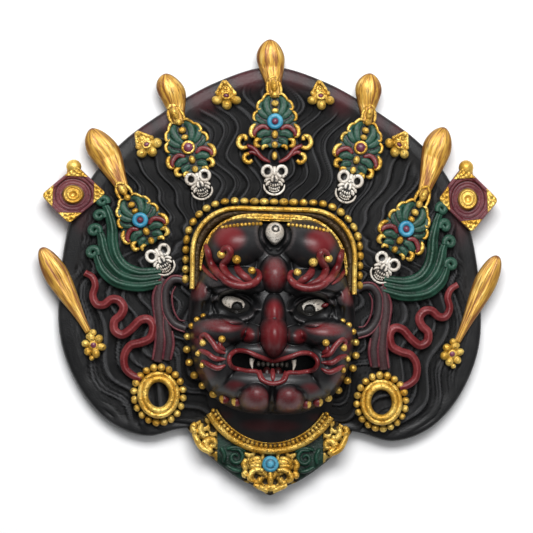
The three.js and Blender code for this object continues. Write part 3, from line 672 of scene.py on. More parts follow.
def hoop(x, y, z, rx, ry, tube, turn=0.0, tall=1.0, columns=40, sides=12):
    """An oval ring of round section, made of rings that run round the section. The last of them is
    joined to the first."""
    a = TAU * np.arange(columns)[:, None] / columns
    b = TAU * np.arange(sides) / sides
    u = (rx + tube * np.cos(b)) * np.cos(a)
    v = (ry + tube * np.cos(b)) * np.sin(a)
    dx, dy = turned(u, v, turn)
    dz = np.broadcast_to(tube * tall * np.sin(b), u.shape)
    points = np.stack([x + dx, y + dy, z + dz], -1).reshape(-1, 3)
    i, j = np.meshgrid(np.arange(columns), np.arange(sides), indexing="ij")
    row, next_row = i * sides, (i + 1) % columns * sides
    after = (j + 1) % sides
    corners = [row + j, next_row + j, next_row + after, row + j, next_row + after, row + after]
    # The low mark is painted shade on the ring's underside.
    low = np.broadcast_to(1 - smooth((np.sin(b) + 0.35) / 0.9), (columns, sides)).ravel()
    return Form(points, np.stack(corners, -1).reshape(-1, 3), {"low": low}).outward()


def bead_row(points, pitch, radii, floor):
    """Beads along a plane curve at an even pitch, each a little its own size."""
    count = round(length_of(points) / pitch) + 1
    path = curve(points, count)
    along = np.gradient(path, axis=0)
    beads = []
    for (x, y), (dx, dy) in zip(path, along):
        own = np.array(radii) * chance.uniform(0.9, 1.08, 3)
        z = float(floor(x, y)) + 0.35 * own[2]
        beads.append(ball(x, y, z, own, -math.degrees(math.atan2(dy, dx))))
    return join(beads)


def plate(outline, centre, shares, height, floor=0.0, marks=None):
    """A closed plate: rings that shrink from an outline to a centre, at height(x, y), on a skirt
    that drops from the outline to floor(x, y). marks are functions of x and y."""
    outline = np.asarray(outline, float)
    centre = np.asarray(centre, float)
    plan = centre + np.asarray(shares)[:, None, None] * (outline - centre)
    x, y = plan[..., 0], plan[..., 1]
    top = np.dstack([x, y, height(x, y)])
    deep = floor(x[0], y[0]) if callable(floor) else np.full(len(outline), floor)
    skirt = np.column_stack([outline, deep])[None]
    rings = np.concatenate([skirt, top])
    kept = {name: of(rings[..., 0], rings[..., 1]) for name, of in (marks or {}).items()}
    end = (*centre, float(height(centre[0], centre[1])))
    return shell(rings, (*centre, float(deep.mean())), end, kept)


# Turning forms into Blender pieces

def hollowness(form, passes, depth):
    """How far each point lies below its surroundings, as a share of depth: the points are averaged
    with their neighbours several times, and the way moved is measured along the normal."""
    tri = form.triangles
    n = len(form.points)
    ends = np.vstack([tri[:, [0, 1]], tri[:, [1, 2]], tri[:, [2, 0]]])
    ends = np.vstack([ends, ends[:, ::-1]])
    degree = np.bincount(ends[:, 0], minlength=n)
    a, b, c = (form.points[tri[:, k]] for k in range(3))
    face_normals = np.cross(b - a, c - a)
    normals = np.column_stack([
        sum(np.bincount(tri[:, k], face_normals[:, axis], n) for k in range(3)) for axis in range(3)
    ])
    normals /= np.linalg.norm(normals, axis=1, keepdims=True) + 1e-12
    moved = form.points
    for _ in range(passes):
        total = np.column_stack([np.bincount(ends[:, 0], moved[ends[:, 1], axis], n) for axis in range(3)])
        moved = 0.5 * moved + 0.5 * total / degree[:, None]
    return np.einsum("ij,ij->i", moved - form.points, normals) / depth


def piece(name, form, material, hollow=None):
    """A Blender object from a form, smooth, with its marks as attributes, riding on the mask.
    hollow gives the passes and depth with which its hollows are marked."""
    if hollow:
        form.marks["hollow"] = hollowness(form, *hollow)
    mesh = bpy.data.meshes.new(name)
    n, m = len(form.points), len(form.triangles)
    mesh.vertices.add(n)
    mesh.vertices.foreach_set("co", (as_cast(form.points) * MM).astype(np.float32).ravel())
    mesh.loops.add(3 * m)
    mesh.loops.foreach_set("vertex_index", form.triangles.astype(np.int32).ravel())
    mesh.polygons.add(m)
    mesh.polygons.foreach_set("loop_start", np.arange(0, 3 * m, 3, dtype=np.int32))
    mesh.update(calc_edges=True)
    mesh.polygons.foreach_set("use_smooth", np.ones(m, bool))
    for mark, values in form.marks.items():
        mesh.attributes.new(mark, "FLOAT", "POINT").data.foreach_set("value", values.astype(np.float32))
    mesh.materials.append(material)
    mesh.validate()
    made = bpy.data.objects.new(name, mesh)
    bpy.context.scene.collection.objects.link(made)
    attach(made, "root")
    return made


# Paints

class Paint:
    """A node material built step by step. Each method adds a node and returns its output."""

    def __init__(self, name):
        self.material = bpy.data.materials.new(name)
        self.material.use_nodes = True
        self.tree = self.material.node_tree
        self.shader = self.tree.nodes["Principled BSDF"]
        self.place = self.tree.nodes.new("ShaderNodeTexCoord").outputs["Object"]

    def node(self, kind, **inputs):
        made = self.tree.nodes.new(kind)
        for socket, value in inputs.items():
            self.feed(made.inputs[socket], value)
        return made

    def feed(self, socket, value):
        if isinstance(value, bpy.types.NodeSocket):
            self.tree.links.new(value, socket)
        elif isinstance(value, tuple) and len(value) == 3 and socket.type == "RGBA":
            socket.default_value = (*value, 1)
        else:
            socket.default_value = value

    def mark(self, name):
        """A piece's own attribute."""
        made = self.tree.nodes.new("ShaderNodeAttribute")
        made.attribute_name = name
        return made.outputs["Fac"]

    def noise(self, size, detail=3.0, vector=None):
        """Noise between 0 and 1 whose patches are about size millimetres."""
        made = self.node("ShaderNodeTexNoise", Scale=1 / (size * MM), Detail=detail)
        self.feed(made.inputs["Vector"], vector or self.place)
        return made.outputs["Fac"]

    def ramp(self, value, low, high, to_low=0.0, to_high=1.0):
        """A value carried smoothly from one span to another, and held beyond it."""
        made = self.tree.nodes.new("ShaderNodeMapRange")
        made.interpolation_type = "SMOOTHSTEP"
        for i, v in enumerate((value, low, high, to_low, to_high)):
            self.feed(made.inputs[i], v)
        return made.outputs[0]

    def maths(self, operation, a, b=0.0, clamp=False, add=0.0):
        made = self.tree.nodes.new("ShaderNodeMath")
        made.operation = operation
        made.use_clamp = clamp
        self.feed(made.inputs[0], a)
        self.feed(made.inputs[1], b)
        self.feed(made.inputs[2], add)
        return made.outputs[0]

    def blend(self, share, a, b):
        """Colour a where share is 0 and b where it is 1."""
        made = self.tree.nodes.new("ShaderNodeMix")
        made.data_type = "RGBA"
        self.feed(made.inputs["Factor"], share)
        self.feed(made.inputs["A"], a)
        self.feed(made.inputs["B"], b)
        return made.outputs["Result"]

    def stretched(self, along, across):
        """A vector made of two marks, so that noise runs in streaks along a piece."""
        across = self.maths("MULTIPLY", self.mark("across"), across * MM)
        along = self.maths("MULTIPLY", self.mark("along"), along * MM)
        made = self.node("ShaderNodeCombineXYZ", X=across, Y=along)
        return made.outputs["Vector"]

    def bump(self, height, distance, under=None):
        """A normal bumped by a height that stands for a distance in millimetres."""
        made = self.node("ShaderNodeBump", Height=height)
        made.inputs["Distance"].default_value = distance * MM
        if under is not None:
            self.feed(made.inputs["Normal"], under)
        return made.outputs["Normal"]

    def finish(self, colour, roughness, normal, coat=0.0, metallic=0.0, specular=0.5):
        self.feed(self.shader.inputs["Base Color"], colour)
        self.feed(self.shader.inputs["Metallic"], metallic)
        self.feed(self.shader.inputs["Roughness"], roughness)
        self.feed(self.shader.inputs["Normal"], normal)
        self.feed(self.shader.inputs["Coat Weight"], coat)
        self.shader.inputs["Coat Roughness"].default_value = 0.3
        self.shader.inputs["Specular IOR Level"].default_value = specular
        return self.material


def washed_and_shaded_paint(name, colour, pale, wash_and_shade, roughness=0.42, coat=0.0, gilt=None, brushed=0.12,
                 metallic=0.0, speckled=0.35):
    """Brushed paint, washed dark in its hollows, partly as painted shade, and darker at its foot and
    underside, from the low mark, as painted shade. Its crests turn paler, drybrushed and partly as
    painted highlight. Where the gilt mark is 1 it turns to gilt, a pair of gold colours, and its
    crests don't turn paler."""
    paint = Paint(name)
    patches = paint.noise(9)
    grain = paint.noise(0.9, 4)
    base = paint.blend(paint.ramp(patches, 0.38, 0.68), colour, pale)
    speckle = paint.noise(1.1, 3)
    base = paint.blend(paint.ramp(speckle, 0.57, 0.66, 0, speckled), base, wash_and_shade)
    if gilt:
        ragged = paint.maths("ADD", paint.mark("gilt"), paint.ramp(grain, 0.2, 0.8, -0.12, 0.12))
        share = paint.ramp(ragged, 0.3, 0.7)
        base = paint.blend(share, base, paint.blend(paint.ramp(patches, 0.35, 0.7), gilt[0], gilt[1]))
        metallic = paint.maths("MULTIPLY", share, 0.6)
    # Painted shade: hollows, partly also a real washed finish, and the foot and underside given by the low
    # mark darken towards the darkest colour. A low mark set whole on a piece is its own dark paint.
    hollow = paint.mark("hollow")
    depth = paint.maths("ADD", paint.ramp(hollow, 0.05, 0.8), paint.mark("low"))
    depth = paint.maths("MULTIPLY", depth, paint.ramp(grain, 0.3, 0.65, 0.75, 1.15), clamp=True)
    base = paint.blend(paint.maths("MULTIPLY", depth, 0.97), base, wash_and_shade)
    # Painted highlight: crests turn paler, partly as drybrushed paint.
    drybrush_and_highlight = paint.maths("MULTIPLY", paint.ramp(hollow, -0.1, -0.9), paint.ramp(grain, 0.35, 0.6, 0.3, 0.8))
    if gilt:
        drybrush_and_highlight = paint.maths("MULTIPLY", drybrush_and_highlight, paint.ramp(share, 0.0, 1.0, 1.0, 0.0))
    base = paint.blend(drybrush_and_highlight, base, tuple(min(1.0, c * 1.35 + 0.02) for c in pale))
    normal = paint.bump(grain, brushed, under=paint.bump(speckle, 2.5 * brushed))
    rough = paint.ramp(grain, 0.2, 0.8, roughness - 0.08, roughness + 0.1)
    return paint.finish(base, rough, normal, coat, metallic, specular=0.35)


GOLD = (0.56, 0.3, 0.035)
PALE_GOLD = (0.88, 0.61, 0.15)
BROWN = (0.02, 0.01, 0.004)
BLACK = (0.003, 0.003, 0.0035)
GILT = (GOLD, PALE_GOLD)


def hair_paint():
    """Charcoal paint with soft maroon patches, washed black in the grooves, partly as painted shade,
    and brushed grey along the crests, partly as painted highlight.
    """
    paint = Paint("hair_paint")
    streaks = paint.noise(1.0, 3, paint.stretched(along=9, across=1.4))
    grain = paint.noise(0.7, 4)
    patches = paint.noise(16)
    base = paint.blend(paint.ramp(patches, 0.35, 0.7), (0.009, 0.009, 0.0095), (0.02, 0.02, 0.0205))
    maroon = paint.maths("MULTIPLY", paint.mark("maroon"), paint.ramp(patches, 0.3, 0.62, 0.35, 1.0))
    base = paint.blend(maroon, base, (0.07, 0.012, 0.016))
    hollow = paint.mark("hollow")
    # Painted shade: black in the grooves.
    base = paint.blend(paint.maths("MULTIPLY", paint.ramp(hollow, 0.02, 0.5), 0.9), base, BLACK)
    # Painted highlight: grey along the crests of the carved locks.
    crest = paint.maths("MULTIPLY", paint.ramp(hollow, -0.02, -0.6), paint.ramp(streaks, 0.4, 0.6, 0.1, 0.7))
    crest = paint.maths("MULTIPLY", crest, paint.mark("carved"))
    base = paint.blend(crest, base, (0.12, 0.12, 0.125))
    carved = paint.maths("MULTIPLY", streaks, paint.mark("carved"))
    normal = paint.bump(grain, 0.2, under=paint.bump(carved, 0.6))
    return paint.finish(base, paint.ramp(grain, 0.2, 0.8, 0.32, 0.46), normal, specular=0.3)


def face_paint():
    """Charcoal paint with airbrushed maroon on what stands out, washed black in the folds, partly as
    painted shade, and paler on the crests, partly as painted highlight.
    """
    paint = Paint("face_paint")
    grain = paint.noise(0.8, 4)
    patches = paint.noise(12)
    base = paint.blend(paint.ramp(patches, 0.35, 0.7), (0.012, 0.012, 0.013), (0.022, 0.021, 0.022))
    maroon = paint.blend(paint.ramp(patches, 0.3, 0.7), (0.11, 0.006, 0.009), (0.155, 0.014, 0.017))
    base = paint.blend(paint.ramp(paint.mark("maroon"), 0.12, 0.85), base, maroon)
    hollow = paint.mark("hollow")
    # Painted shade: black in the folds.
    base = paint.blend(paint.maths("MULTIPLY", paint.ramp(hollow, 0.02, 0.5), 0.9), base, BLACK)
    black = paint.mark("black")
    base = paint.blend(black, base, BLACK)
    # Painted highlight: paler on the crests.
    crest = paint.maths("MULTIPLY", paint.ramp(hollow, -0.15, -0.8), paint.ramp(grain, 0.35, 0.65, 0.1, 0.4))
    base = paint.blend(crest, base, (0.12, 0.1, 0.1))
    normal = paint.bump(grain, 0.09, under=paint.bump(patches, 0.25))
    rough = paint.maths("MULTIPLY_ADD", black, 0.3, add=paint.ramp(grain, 0.2, 0.8, 0.33, 0.46))
    coat = paint.maths("MULTIPLY_ADD", black, -0.15, add=0.15)
    return paint.finish(base, rough, normal, coat, specular=0.28)


def petal_paint():
    """Golden yellow with brown streaks drawn along the petal, maroon at its tip and edges, and darker
    on its underside as painted shade.
    """
    paint = Paint("petal_paint")
    streaks = paint.noise(1.0, 3, paint.stretched(along=2.2, across=3.2))
    fine = paint.noise(1.0, 4, paint.stretched(along=5, across=9))
    grain = paint.noise(0.8, 3)
    base = paint.blend(paint.ramp(streaks, 0.34, 0.56), (0.26, 0.085, 0.016), (0.72, 0.4, 0.06))
    base = paint.blend(paint.ramp(streaks, 0.54, 0.72), base, (0.92, 0.65, 0.18))
    base = paint.blend(paint.ramp(fine, 0.52, 0.64, 0, 0.75), base, (0.16, 0.05, 0.015))
    tip = paint.ramp(paint.mark("along"), 0.955, 1.0)
    base = paint.blend(paint.maths("MULTIPLY", tip, 0.8), base, (0.15, 0.03, 0.03))
    # Darker along the edges, and on the underside as painted shade.
    base = paint.blend(paint.maths("MULTIPLY", paint.mark("low"), 0.85), base, (0.12, 0.045, 0.015))
    normal = paint.bump(fine, 0.35, under=paint.bump(streaks, 0.5))
    return paint.finish(base, paint.ramp(grain, 0.2, 0.8, 0.3, 0.42), normal, metallic=0.25)


gold_paint = washed_and_shaded_paint(
    "gold_paint", GOLD, PALE_GOLD, BROWN, 0.32, brushed=0.22, metallic=0.5, speckled=0.75)
red_paint = washed_and_shaded_paint(
    "red_paint", (0.12, 0.009, 0.011), (0.21, 0.034, 0.036), (0.01, 0.001, 0.001), 0.33, coat=0.15, gilt=GILT)
green_paint = washed_and_shaded_paint(
    "green_paint", (0.004, 0.028, 0.015), (0.012, 0.06, 0.036), (0.001, 0.002, 0.002), 0.4, gilt=GILT)
maroon_paint = washed_and_shaded_paint(
    "maroon_paint", (0.1, 0.016, 0.024), (0.17, 0.045, 0.052), (0.01, 0.002, 0.003), 0.42, gilt=GILT)
turquoise_paint = washed_and_shaded_paint(
    "turquoise_paint", (0.025, 0.22, 0.36), (0.09, 0.38, 0.54), (0.004, 0.02, 0.04), 0.3, coat=0.2)
garnet_paint = washed_and_shaded_paint("garnet_paint", (0.12, 0.02, 0.04), (0.2, 0.05, 0.09), BLACK, 0.25, coat=0.4)
bone_paint = washed_and_shaded_paint(
    "bone_paint", (0.52, 0.46, 0.39), (0.78, 0.73, 0.65), BLACK, 0.32,
    brushed=0.08, metallic=0.1, speckled=0.8)


# Hair and face

def soft_spot(x, y, spots):
    """Airbrushed spots, the strongest counting: soft ovals given as x, y, half-width, half-height and
    strength."""
    best = np.zeros(np.shape(x))
    for sx, sy, rx, ry, strength in spots:
        d2 = ((np.abs(x) - sx) / rx) ** 2 + ((y - sy) / ry) ** 2
        best = np.maximum(best, strength * np.exp(-1.1 * d2**1.6))
    return best


HAIR_MAROON = [
    (14, 102, 9, 7, 0.9), (37, 90, 8, 8, 0.8), (55, 78, 7, 6, 0.6), (70, 74, 7, 5, 0.7),
    (102, 28, 5, 12, 0.5),
]
THROAT_MAROON = [(6, -85, 13, 4.5, 0.4), (24, -80, 6, 3.5, 0.3)]
FACE_MAROON = [
    (24.4, 14.8, 8.8, 7.2, 1), (0, -3.4, 6.6, 9, 1), (40.5, -14, 5, 5.5, 0.9), (0, -23.5, 5.4, 7, 0.9),
    (0, -37, 8.5, 11, 1), (14, -36.5, 4, 4.5, 0.85), (28, -32, 12, 3.6, 0.9), (40, -38, 4, 7, 0.6),
    (36, -58, 7, 5, 0.45), (8.8, -70.5, 8, 7, 1), (20, -64, 7, 4, 0.5),
]


def hair():
    """The plaque: from the hollow's floor out to the rim and in again over the carved locks."""
    columns = 1000
    angle = TAU * np.arange(columns) / columns - math.pi
    radius = outline_radius(angle)
    ray = np.column_stack([np.cos(angle), np.sin(angle)])

    def oval(scale, z):
        plan = ray * (HOLLOW["half_width"] * scale, HOLLOW["half_height"] * scale) + (0, HOLLOW["y"])
        return np.column_stack([plan, np.full(columns, z)])

    def level(share, z):
        plan = ray * (radius * share)[:, None] + (0, PLAQUE["middle"])
        return np.column_stack([plan, np.full(columns, z)])

    floor, draft = HOLLOW["depth"], HOLLOW["draft"]
    back = [oval(draft * 0.97, floor), oval(draft, floor - 1.5), oval(1, 0)]
    rim = [level(0.984, 0), level(0.995, 1.0), level(1, 3), level(0.999, 6), level(0.994, 7.9)]
    shares = np.r_[0.984, np.linspace(0.974, 0.3, 88)]
    x = ray[:, 0] * radius * shares[:, None]
    y = ray[:, 1] * radius * shares[:, None] + PLAQUE["middle"]
    roof = floor + SKIN
    oval_share = np.hypot(x / HOLLOW["half_width"], (y - HOLLOW["y"]) / HOLLOW["half_height"])
    over_hollow = roof * np.clip((1.08 - oval_share) / 0.18, 0, 1)
    top = np.dstack([x, y, np.maximum(hair_height(x, y), over_hollow)])
    rings = np.concatenate([np.array(back + rim), top])
    x, y = rings[..., 0], rings[..., 1]
    marks = {
        "maroon": soft_spot(x, y, HAIR_MAROON) * (rings[..., 2] > 6),
        "across": lock_phase(x, y) * PLAQUE["lock"],
        "along": np.hypot(x, y),
        "carved": (1 - smooth((plaque_share(x, y) - 0.92) / 0.03)) * (rings[..., 2] > 7),
    }
    return shell(rings, (0, HOLLOW["y"], floor), (0, PLAQUE["middle"], roof), marks)


def face():
    """Rings that shrink from the face's outline to its middle, standing in the plaque. Underneath
    it follows the hollow, a little way above it."""
    columns = 420
    shares = np.r_[np.linspace(1, 0.9, 20), np.linspace(0.893, 0.012, 140)]
    a = TAU * np.arange(columns) / columns
    power = 2 / face_power(np.sin(a))
    up = np.sign(np.sin(a)) * np.abs(np.sin(a)) ** power
    y = FACE["y"] + up * FACE["half_height"] * shares[:, None]
    x = np.sign(np.cos(a)) * np.abs(np.cos(a)) ** power * face_width(y) * shares[:, None]
    z = face_height(x * 0.9999, FACE["y"] + (y - FACE["y"]) * 0.9999)
    foot = np.dstack([x[:1], y[:1], np.full((1, columns), 6.0)])
    depth = HOLLOW["depth"] + 1
    lining = np.array([
        np.column_stack([
            HOLLOW["half_width"] * scale * np.cos(a),
            HOLLOW["y"] + HOLLOW["half_height"] * scale * np.sin(a),
            np.full(columns, level),
        ])
        for scale, level in ((0.88, depth), (1.04, 6.0))
    ])
    rings = np.concatenate([lining, foot, np.dstack([x, y, z])])
    x, y = rings[..., 0], rings[..., 1]
    wide, high = EYE["lined"]
    lined = smooth((1.15 - np.hypot((np.abs(x) - EYE["x"]) / wide, (y - EYE["y"]) / high)) / 0.3)
    marks = {
        "maroon": soft_spot(x, y, FACE_MAROON),
        "black": np.maximum.reduce([mouth_depth(x, y), 0.9 * third_socket(x, y), lined]),
    }
    middle = float(face_height(np.array([0.0]), np.array([FACE["y"]]))[0])
    return shell(rings, (0, HOLLOW["y"], depth), (0, FACE["y"], middle), marks)


hair_piece = piece("hair", hair(), hair_paint(), hollow=(4, 0.35))
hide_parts("mask")
face_material = face_paint()
piece("face", face(), face_material, hollow=(12, 0.35))


# Eyes, mouth and flames

def eyeball():
    """An almond ball, black all round, with a slanting ivory white and a round dark pupil sunk low
    in it."""
    radii = (EYE["half_width"], EYE["half_height"], EYE["thick"])
    form = ball(EYE["x"], EYE["y"], EYE["top"] - EYE["thick"], radii, EYE["turn"], rows=40, sides=72)
    x, y = form.points[:, 0], form.points[:, 1]
    u, v = turned(x - EYE_WHITE["x"], y - EYE_WHITE["y"], -EYE_WHITE["lean"])
    rim = np.abs(u / EYE_WHITE["half_width"]) ** 2.4 + np.abs(v / EYE_WHITE["half_height"]) ** 2
    pupil = np.hypot(x - PUPIL["x"], y - PUPIL["y"]) / PUPIL["radius"]
    form.points[:, 2] -= PUPIL["depth"] * smooth((1 - pupil) / 0.3) + 0.7 * smooth((rim - 0.9) / 0.25)
    white = smooth((1.02 - rim) / 0.14) * smooth((pupil - 0.94) / 0.1)
    return marked(form, low=1.4 * (1 - white))


def third_eyeball():
    """A drop-shaped ball, with a ring pressed in above its middle."""
    middle, half_width, half_height = THIRD_EYE["y"], THIRD_EYE["half_width"], THIRD_EYE["half_height"]
    radii = (half_width, half_height, THIRD_EYE["thick"])
    form = ball(0, middle, THIRD_EYE["top"] - THIRD_EYE["thick"], radii, rows=30, sides=60)
    x, y = form.points[:, 0], form.points[:, 1]
    point = smooth((middle - 2 - y) / 5)
    form.points[:, 0] *= 1 - 0.45 * point
    form.points[:, 1] -= 1.4 * point
    ring = np.abs(np.hypot(x - 0.3, y - THIRD_EYE["ring_y"]) - THIRD_EYE["ring_radius"])
    ring = ring + 0.4 * smooth((20 - y) / 1.5)
    form.points[:, 2] -= 0.8 * smooth((0.9 - ring) / 0.8)
    rim = np.hypot(x / half_width, (y - middle) / half_height)
    dark = np.maximum(smooth((0.8 - ring) / 0.4), 0.7 * smooth((rim - 0.88) / 0.12))
    return marked(form, low=dark)


def lips():
    """A rounded rim all round the mouth, and a tongue of two dark lobes with a red edge and ridge.
    The right eye's outer corner is painted with them."""
    loop = both_halves(LIP_LOOP)
    tongue_edge = [(6.8, -54.8), (6, -58.4), (3.4, -61), (0.4, -61.6)]

    def over(x, y):
        return np.minimum(uncut(x, y), MOUTH["tongue"])

    return join([
        bar(loop + loop[:1], even(1.35), floor=uncut, lift=0.2, tall=1.5, step=0.5),
        pair(bar(tongue_edge, tapered(1.2, 0.5, 0.9), floor=over, tall=1.5)),
        bar([(0, -53.8), (0, -60.5)], tapered(1.4, 0.5, 0.8), floor=over, tall=1.3),
        pair(marked(ball(3, -57, 41, (2.6, 4.2, 3.6)), low=1)),
        ball(27.4, -19.2, 38.6, (2.2, 1.2, 1.4), -20),
    ])


def teeth():
    """A row of small dark teeth below the upper lip, and a pale fang near either corner."""
    row = [
        ball(x, -51.4 - 0.004 * x * x, 38, (1.15, 1.7, 2.6), rows=7, sides=10)
        for x in np.arange(-7.5, 7.6, 2.5)
    ]
    fang = bar([(11, -48.8), (11.4, -51.6), (10.8, -54.6)], lambda t: 1.5 * (1 - 0.8 * t),
               floor=flat_at(43.5), tall=1.1)
    return join([marked(join(row), low=0.65), pair(marked(fang, low=0.05))])


def flames():
    """Tufts of flame on brows and cheeks. Those on the cheeks are gilded towards their free ends."""
    gilded = {"gilt": lambda t: 1 - smooth((t - 0.02) / 0.1)}
    brows = [
        bar(points, tapered(radius, 0.5, 0.3), floor=uncut, lift=0.9, tall=1.3, step=0.5)
        for points, radius in BROW_FLAMES
    ]
    cheeks = [
        bar(points, tapered(radius, 0.6, 0.3), floor=uncut, lift=0.5, tall=1.2, step=0.5, marks=gilded)
        for points, radius in CHEEK_FLAMES
    ]
    return pair(join(brows + cheeks))


def flame_tips():
    tips = [ball(x, y, float(uncut(x, y)) + 1.4, r) for x, y, r in BROW_TIPS + CHEEK_TIPS]
    return pair(join(tips))


def jaw_beads():
    """Beads that grow down the jaw, as high as the hair beside the face or the face's own edge asks.
    The last two lean on the chin, and only their outer halves are gilded."""
    beads = []
    for x, y, r in JAW_BEADS:
        beside = float(plaque_height(x, y)) + 1.6 * r
        inward = x - 0.8
        upon = min(float(ground(inward, y)) + 0.2 * r, JAW_BEADS_TOP)
        beads.append(marked(ball(inward, y, max(beside, upon), (r * 1.15, r * 1.1, r * 1.3)), gilt=1))
    for bead in beads[-2:]:
        bead.marks["gilt"] = smooth((bead.points[:, 0] - bead.points[:, 0].mean() - 0.2) / 1.2)
    return pair(join(beads))


piece("eyes", join([pair(eyeball()), third_eyeball()]), bone_paint)
piece("lips", lips(), red_paint)
piece("teeth", teeth(), bone_paint)
piece("flames", flames(), red_paint)
piece("flame_tips", flame_tips(), gold_paint)
piece("jaw_beads", jaw_beads(), red_paint)


# Headband

def headband():
    """A round tube over the brow, a worked band within it, both on a dark bed, and a fringe of
    grains below the band."""
    bed = bar(arch(**BAND_BED), even(2.9), floor=flat_at(27.6), tall=1.35, sides=20, step=1)
    tube = bar(arch(**HEADBAND), even(1.3), floor=flat_at(32.2), tall=1.15, sides=16, step=0.8)
    inner = bar(arch(**INNER_BAND), lambda t: 0.35 + 1.6 * math.sin(math.pi * t) ** 0.8,
                floor=flat_at(INNER_LEVEL), tall=0.8, sides=28, step=0.5, flutes=3, groove=0.6)
    x, y = inner.points[:, 0], inner.points[:, 1]
    worked = ripple(x, y, 0.8, 0.4)
    inner.points[:, 2] += 0.3 * worked * (inner.points[:, 2] > INNER_LEVEL)
    # More of the low mark in the band's worked pits: painted shade there.
    inner.marks["low"] = inner.marks["low"] + 0.75 * smooth((-0.1 - worked) / 0.5)
    fringe = [(x, 23.2 - 0.0035 * x * x) for x in np.linspace(7.5, 28, 7)]
    grains = pair(bead_row(fringe, 2.0, (1.05, 1.05, 1.0), raised(uncut, 0.4)))
    return join([marked(bed, low=1.4), tube, inner, grains])


def band_beads():
    return bead_row(arch(**BAND_BEADS), BEAD_PITCH, (2.5, 2.0, 2.2), raised(plaque_height, 1.2))


piece("headband", headband(), gold_paint)
piece("band_beads", band_beads(), gold_paint)


# Crown

def petal(foot, tip, width, side=1, skew=0.0, neck=0.4, blunt=0.62):
    """A petal from a foot on the hair out past the rim: lens-shaped across, widest near its tip,
    with soft flutes along it. skew carries the tip outward. Marks give the place along and across."""
    stations, sides = 70, 44
    dx, dy = tip[0] - foot[0], tip[1] - foot[1]
    length = math.hypot(dx, dy)
    t = np.sin(np.linspace(0.02, 1, stations) * math.pi / 2)
    swell = mix(neck, 1.04, smooth(t / 0.76))
    close = np.clip(1 - np.clip((t - 0.6) / 0.402, 0, 1) ** 2.3, 0, 1) ** blunt
    half = width / 2 * swell * close
    drift = skew * smooth((t - 0.5) / 0.5)
    x, y = foot[0] + dx * t + dy / length * drift, foot[1] + dy * t - dx / length * drift
    level = np.maximum(PETAL_TIP_HEIGHT, plaque_height(x, y) + 1)
    a = TAU * np.arange(sides) / sides
    out, up = np.cos(a), np.sin(a)
    flutes = 1 - 0.12 * (0.5 + 0.5 * np.cos(out * 9.5)) * (up > 0)
    spread = half[:, None] * out
    rings = np.dstack([
        x[:, None] - dy / length * spread,
        y[:, None] + dx / length * spread,
        level[:, None] + half[:, None] * 0.55 * up * flutes,
    ])
    edge = 0.75 * smooth((np.abs(out) - 0.5) / 0.5)
    marks = {
        "along": t[:, None],
        "across": out + 2.0 * foot[0],
        "low": np.maximum(1 - smooth((up + 0.1) / 0.35), edge),
    }
    marks = {name: np.broadcast_to(value, (stations, sides)) for name, value in marks.items()}
    form = shell(rings, (x[0], y[0], level[0]), (x[-1], y[-1], level[-1]), marks)
    return form if side > 0 else mirrored(form)


def laid(at, rows, side=1, **options):
    """Rods laid on the hair. at turns places across and along an ornament into places on the mask,
    and each row gives points, half-width, the shares of it left at start and end, and lift."""
    return [
        bar([at(side * u, v) for u, v in points], tapered(radius, start, end), lift=lift, **options)
        for points, radius, start, end, lift in rows
    ]


def jewel_parts(at, tilt, curls):
    """Leaves, gilding and arms of one jewel, on a dark bed. tilt is the way it leans, in degrees."""
    boss = [at(u, v) for u, v in curve(both_halves(BOSS_HALF), 60, closed=True)]
    centre = at(0, 0)

    def crowned(x, y):
        return plaque_height(x, y) + 1.2 + 1.6 * (1 - np.hypot(x - centre[0], y - centre[1]) / 16)

    bed = plate(boss, centre, [1, 0.93, 0.8, 0.6, 0.35, 0.15], crowned, raised(plaque_height, -3))
    leaves, gold, arms = [marked(bed, low=1.4)], [], []
    for side in (-1, 1):
        leaves += laid(at, JEWEL_LEAVES, side, flutes=1)
        gold += laid(at, JEWEL_EDGES, side)
        arms += laid(at, JEWEL_ARM, side, flutes=1)
        if curls:
            arms += laid(at, CURL_STEMS, side)
            gold += laid(at, CURL_HEADS, side)
    for along, wide, long in JEWEL_SPINE + (CURL_BEAD if curls else []):
        gold.append(on_hair(*at(0, along), 3.4, (wide, long, 1.9), tilt))
    gold += laid(at, JEWEL_CAP)
    return {"leaves": leaves, "gold": gold, "arms": arms}


def set_stone(at, kind):
    """The stone in a jewel's middle: a garnet in a gilt ring, or a turquoise disc with a groove
    round a small garnet."""
    x, y = at(0, 0)
    z = float(plaque_height(x, y)) + 4.2
    if kind == "garnet":
        return {"gold": [hoop(x, y, z, 2.9, 2.9, 0.9)], "stones": [on_hair(x, y, 4.6, (2.7, 2.7, 1.7))]}
    disc = [hoop(x, y, z, 3.0, 3.0, 1.4, tall=1.1), ball(x, y, z - 0.6, (3.5, 3.5, 1.6))]
    return {"discs": disc, "stones": [on_hair(x, y, 4.6, (1.9, 1.9, 1.7))]}


def skull(at, tilt):
    """A small skull: two round eye rims, a nose that parts in two, and a bowl of a jaw."""
    x, y = at(0, 0.4)
    z = float(plaque_height(x, y))
    made = [marked(ball(x, y, z + 0.2, (6.0, 8.0, 2.6), tilt), low=1.4)]
    for side in (-1, 1):
        made.append(hoop(*at(side * 3.8, 4.6), z + 2.9, 2.6, 2.8, 1.0, tilt, columns=28, sides=10))
        made += laid(at, SKULL_RIDGES, side)
    made += laid(at, SKULL_BROW)
    for u in (-3.1, -1.9, -0.65, 0.65, 1.9, 3.1):
        for v, long in ((-2.9, 0.95), (-4.9, 0.8), (-6.4, 0.55)):
            tx, ty = at(u * (1 + 0.07 * v + 0.2), v + 0.08 * u * u)
            own = chance.uniform(0.8, 1.15, 3) * (0.55, long, 0.9)
            made.append(ball(tx, ty, z + 2.4 + 0.1 * v, own, tilt, rows=6, sides=9))
    return join(made)


def on_finial(finial, distance, bend=0):
    """The place at a distance along a finial from its base."""
    return tuple(np.add(finial["base"], turned(0, distance, finial["lean"] + bend)))


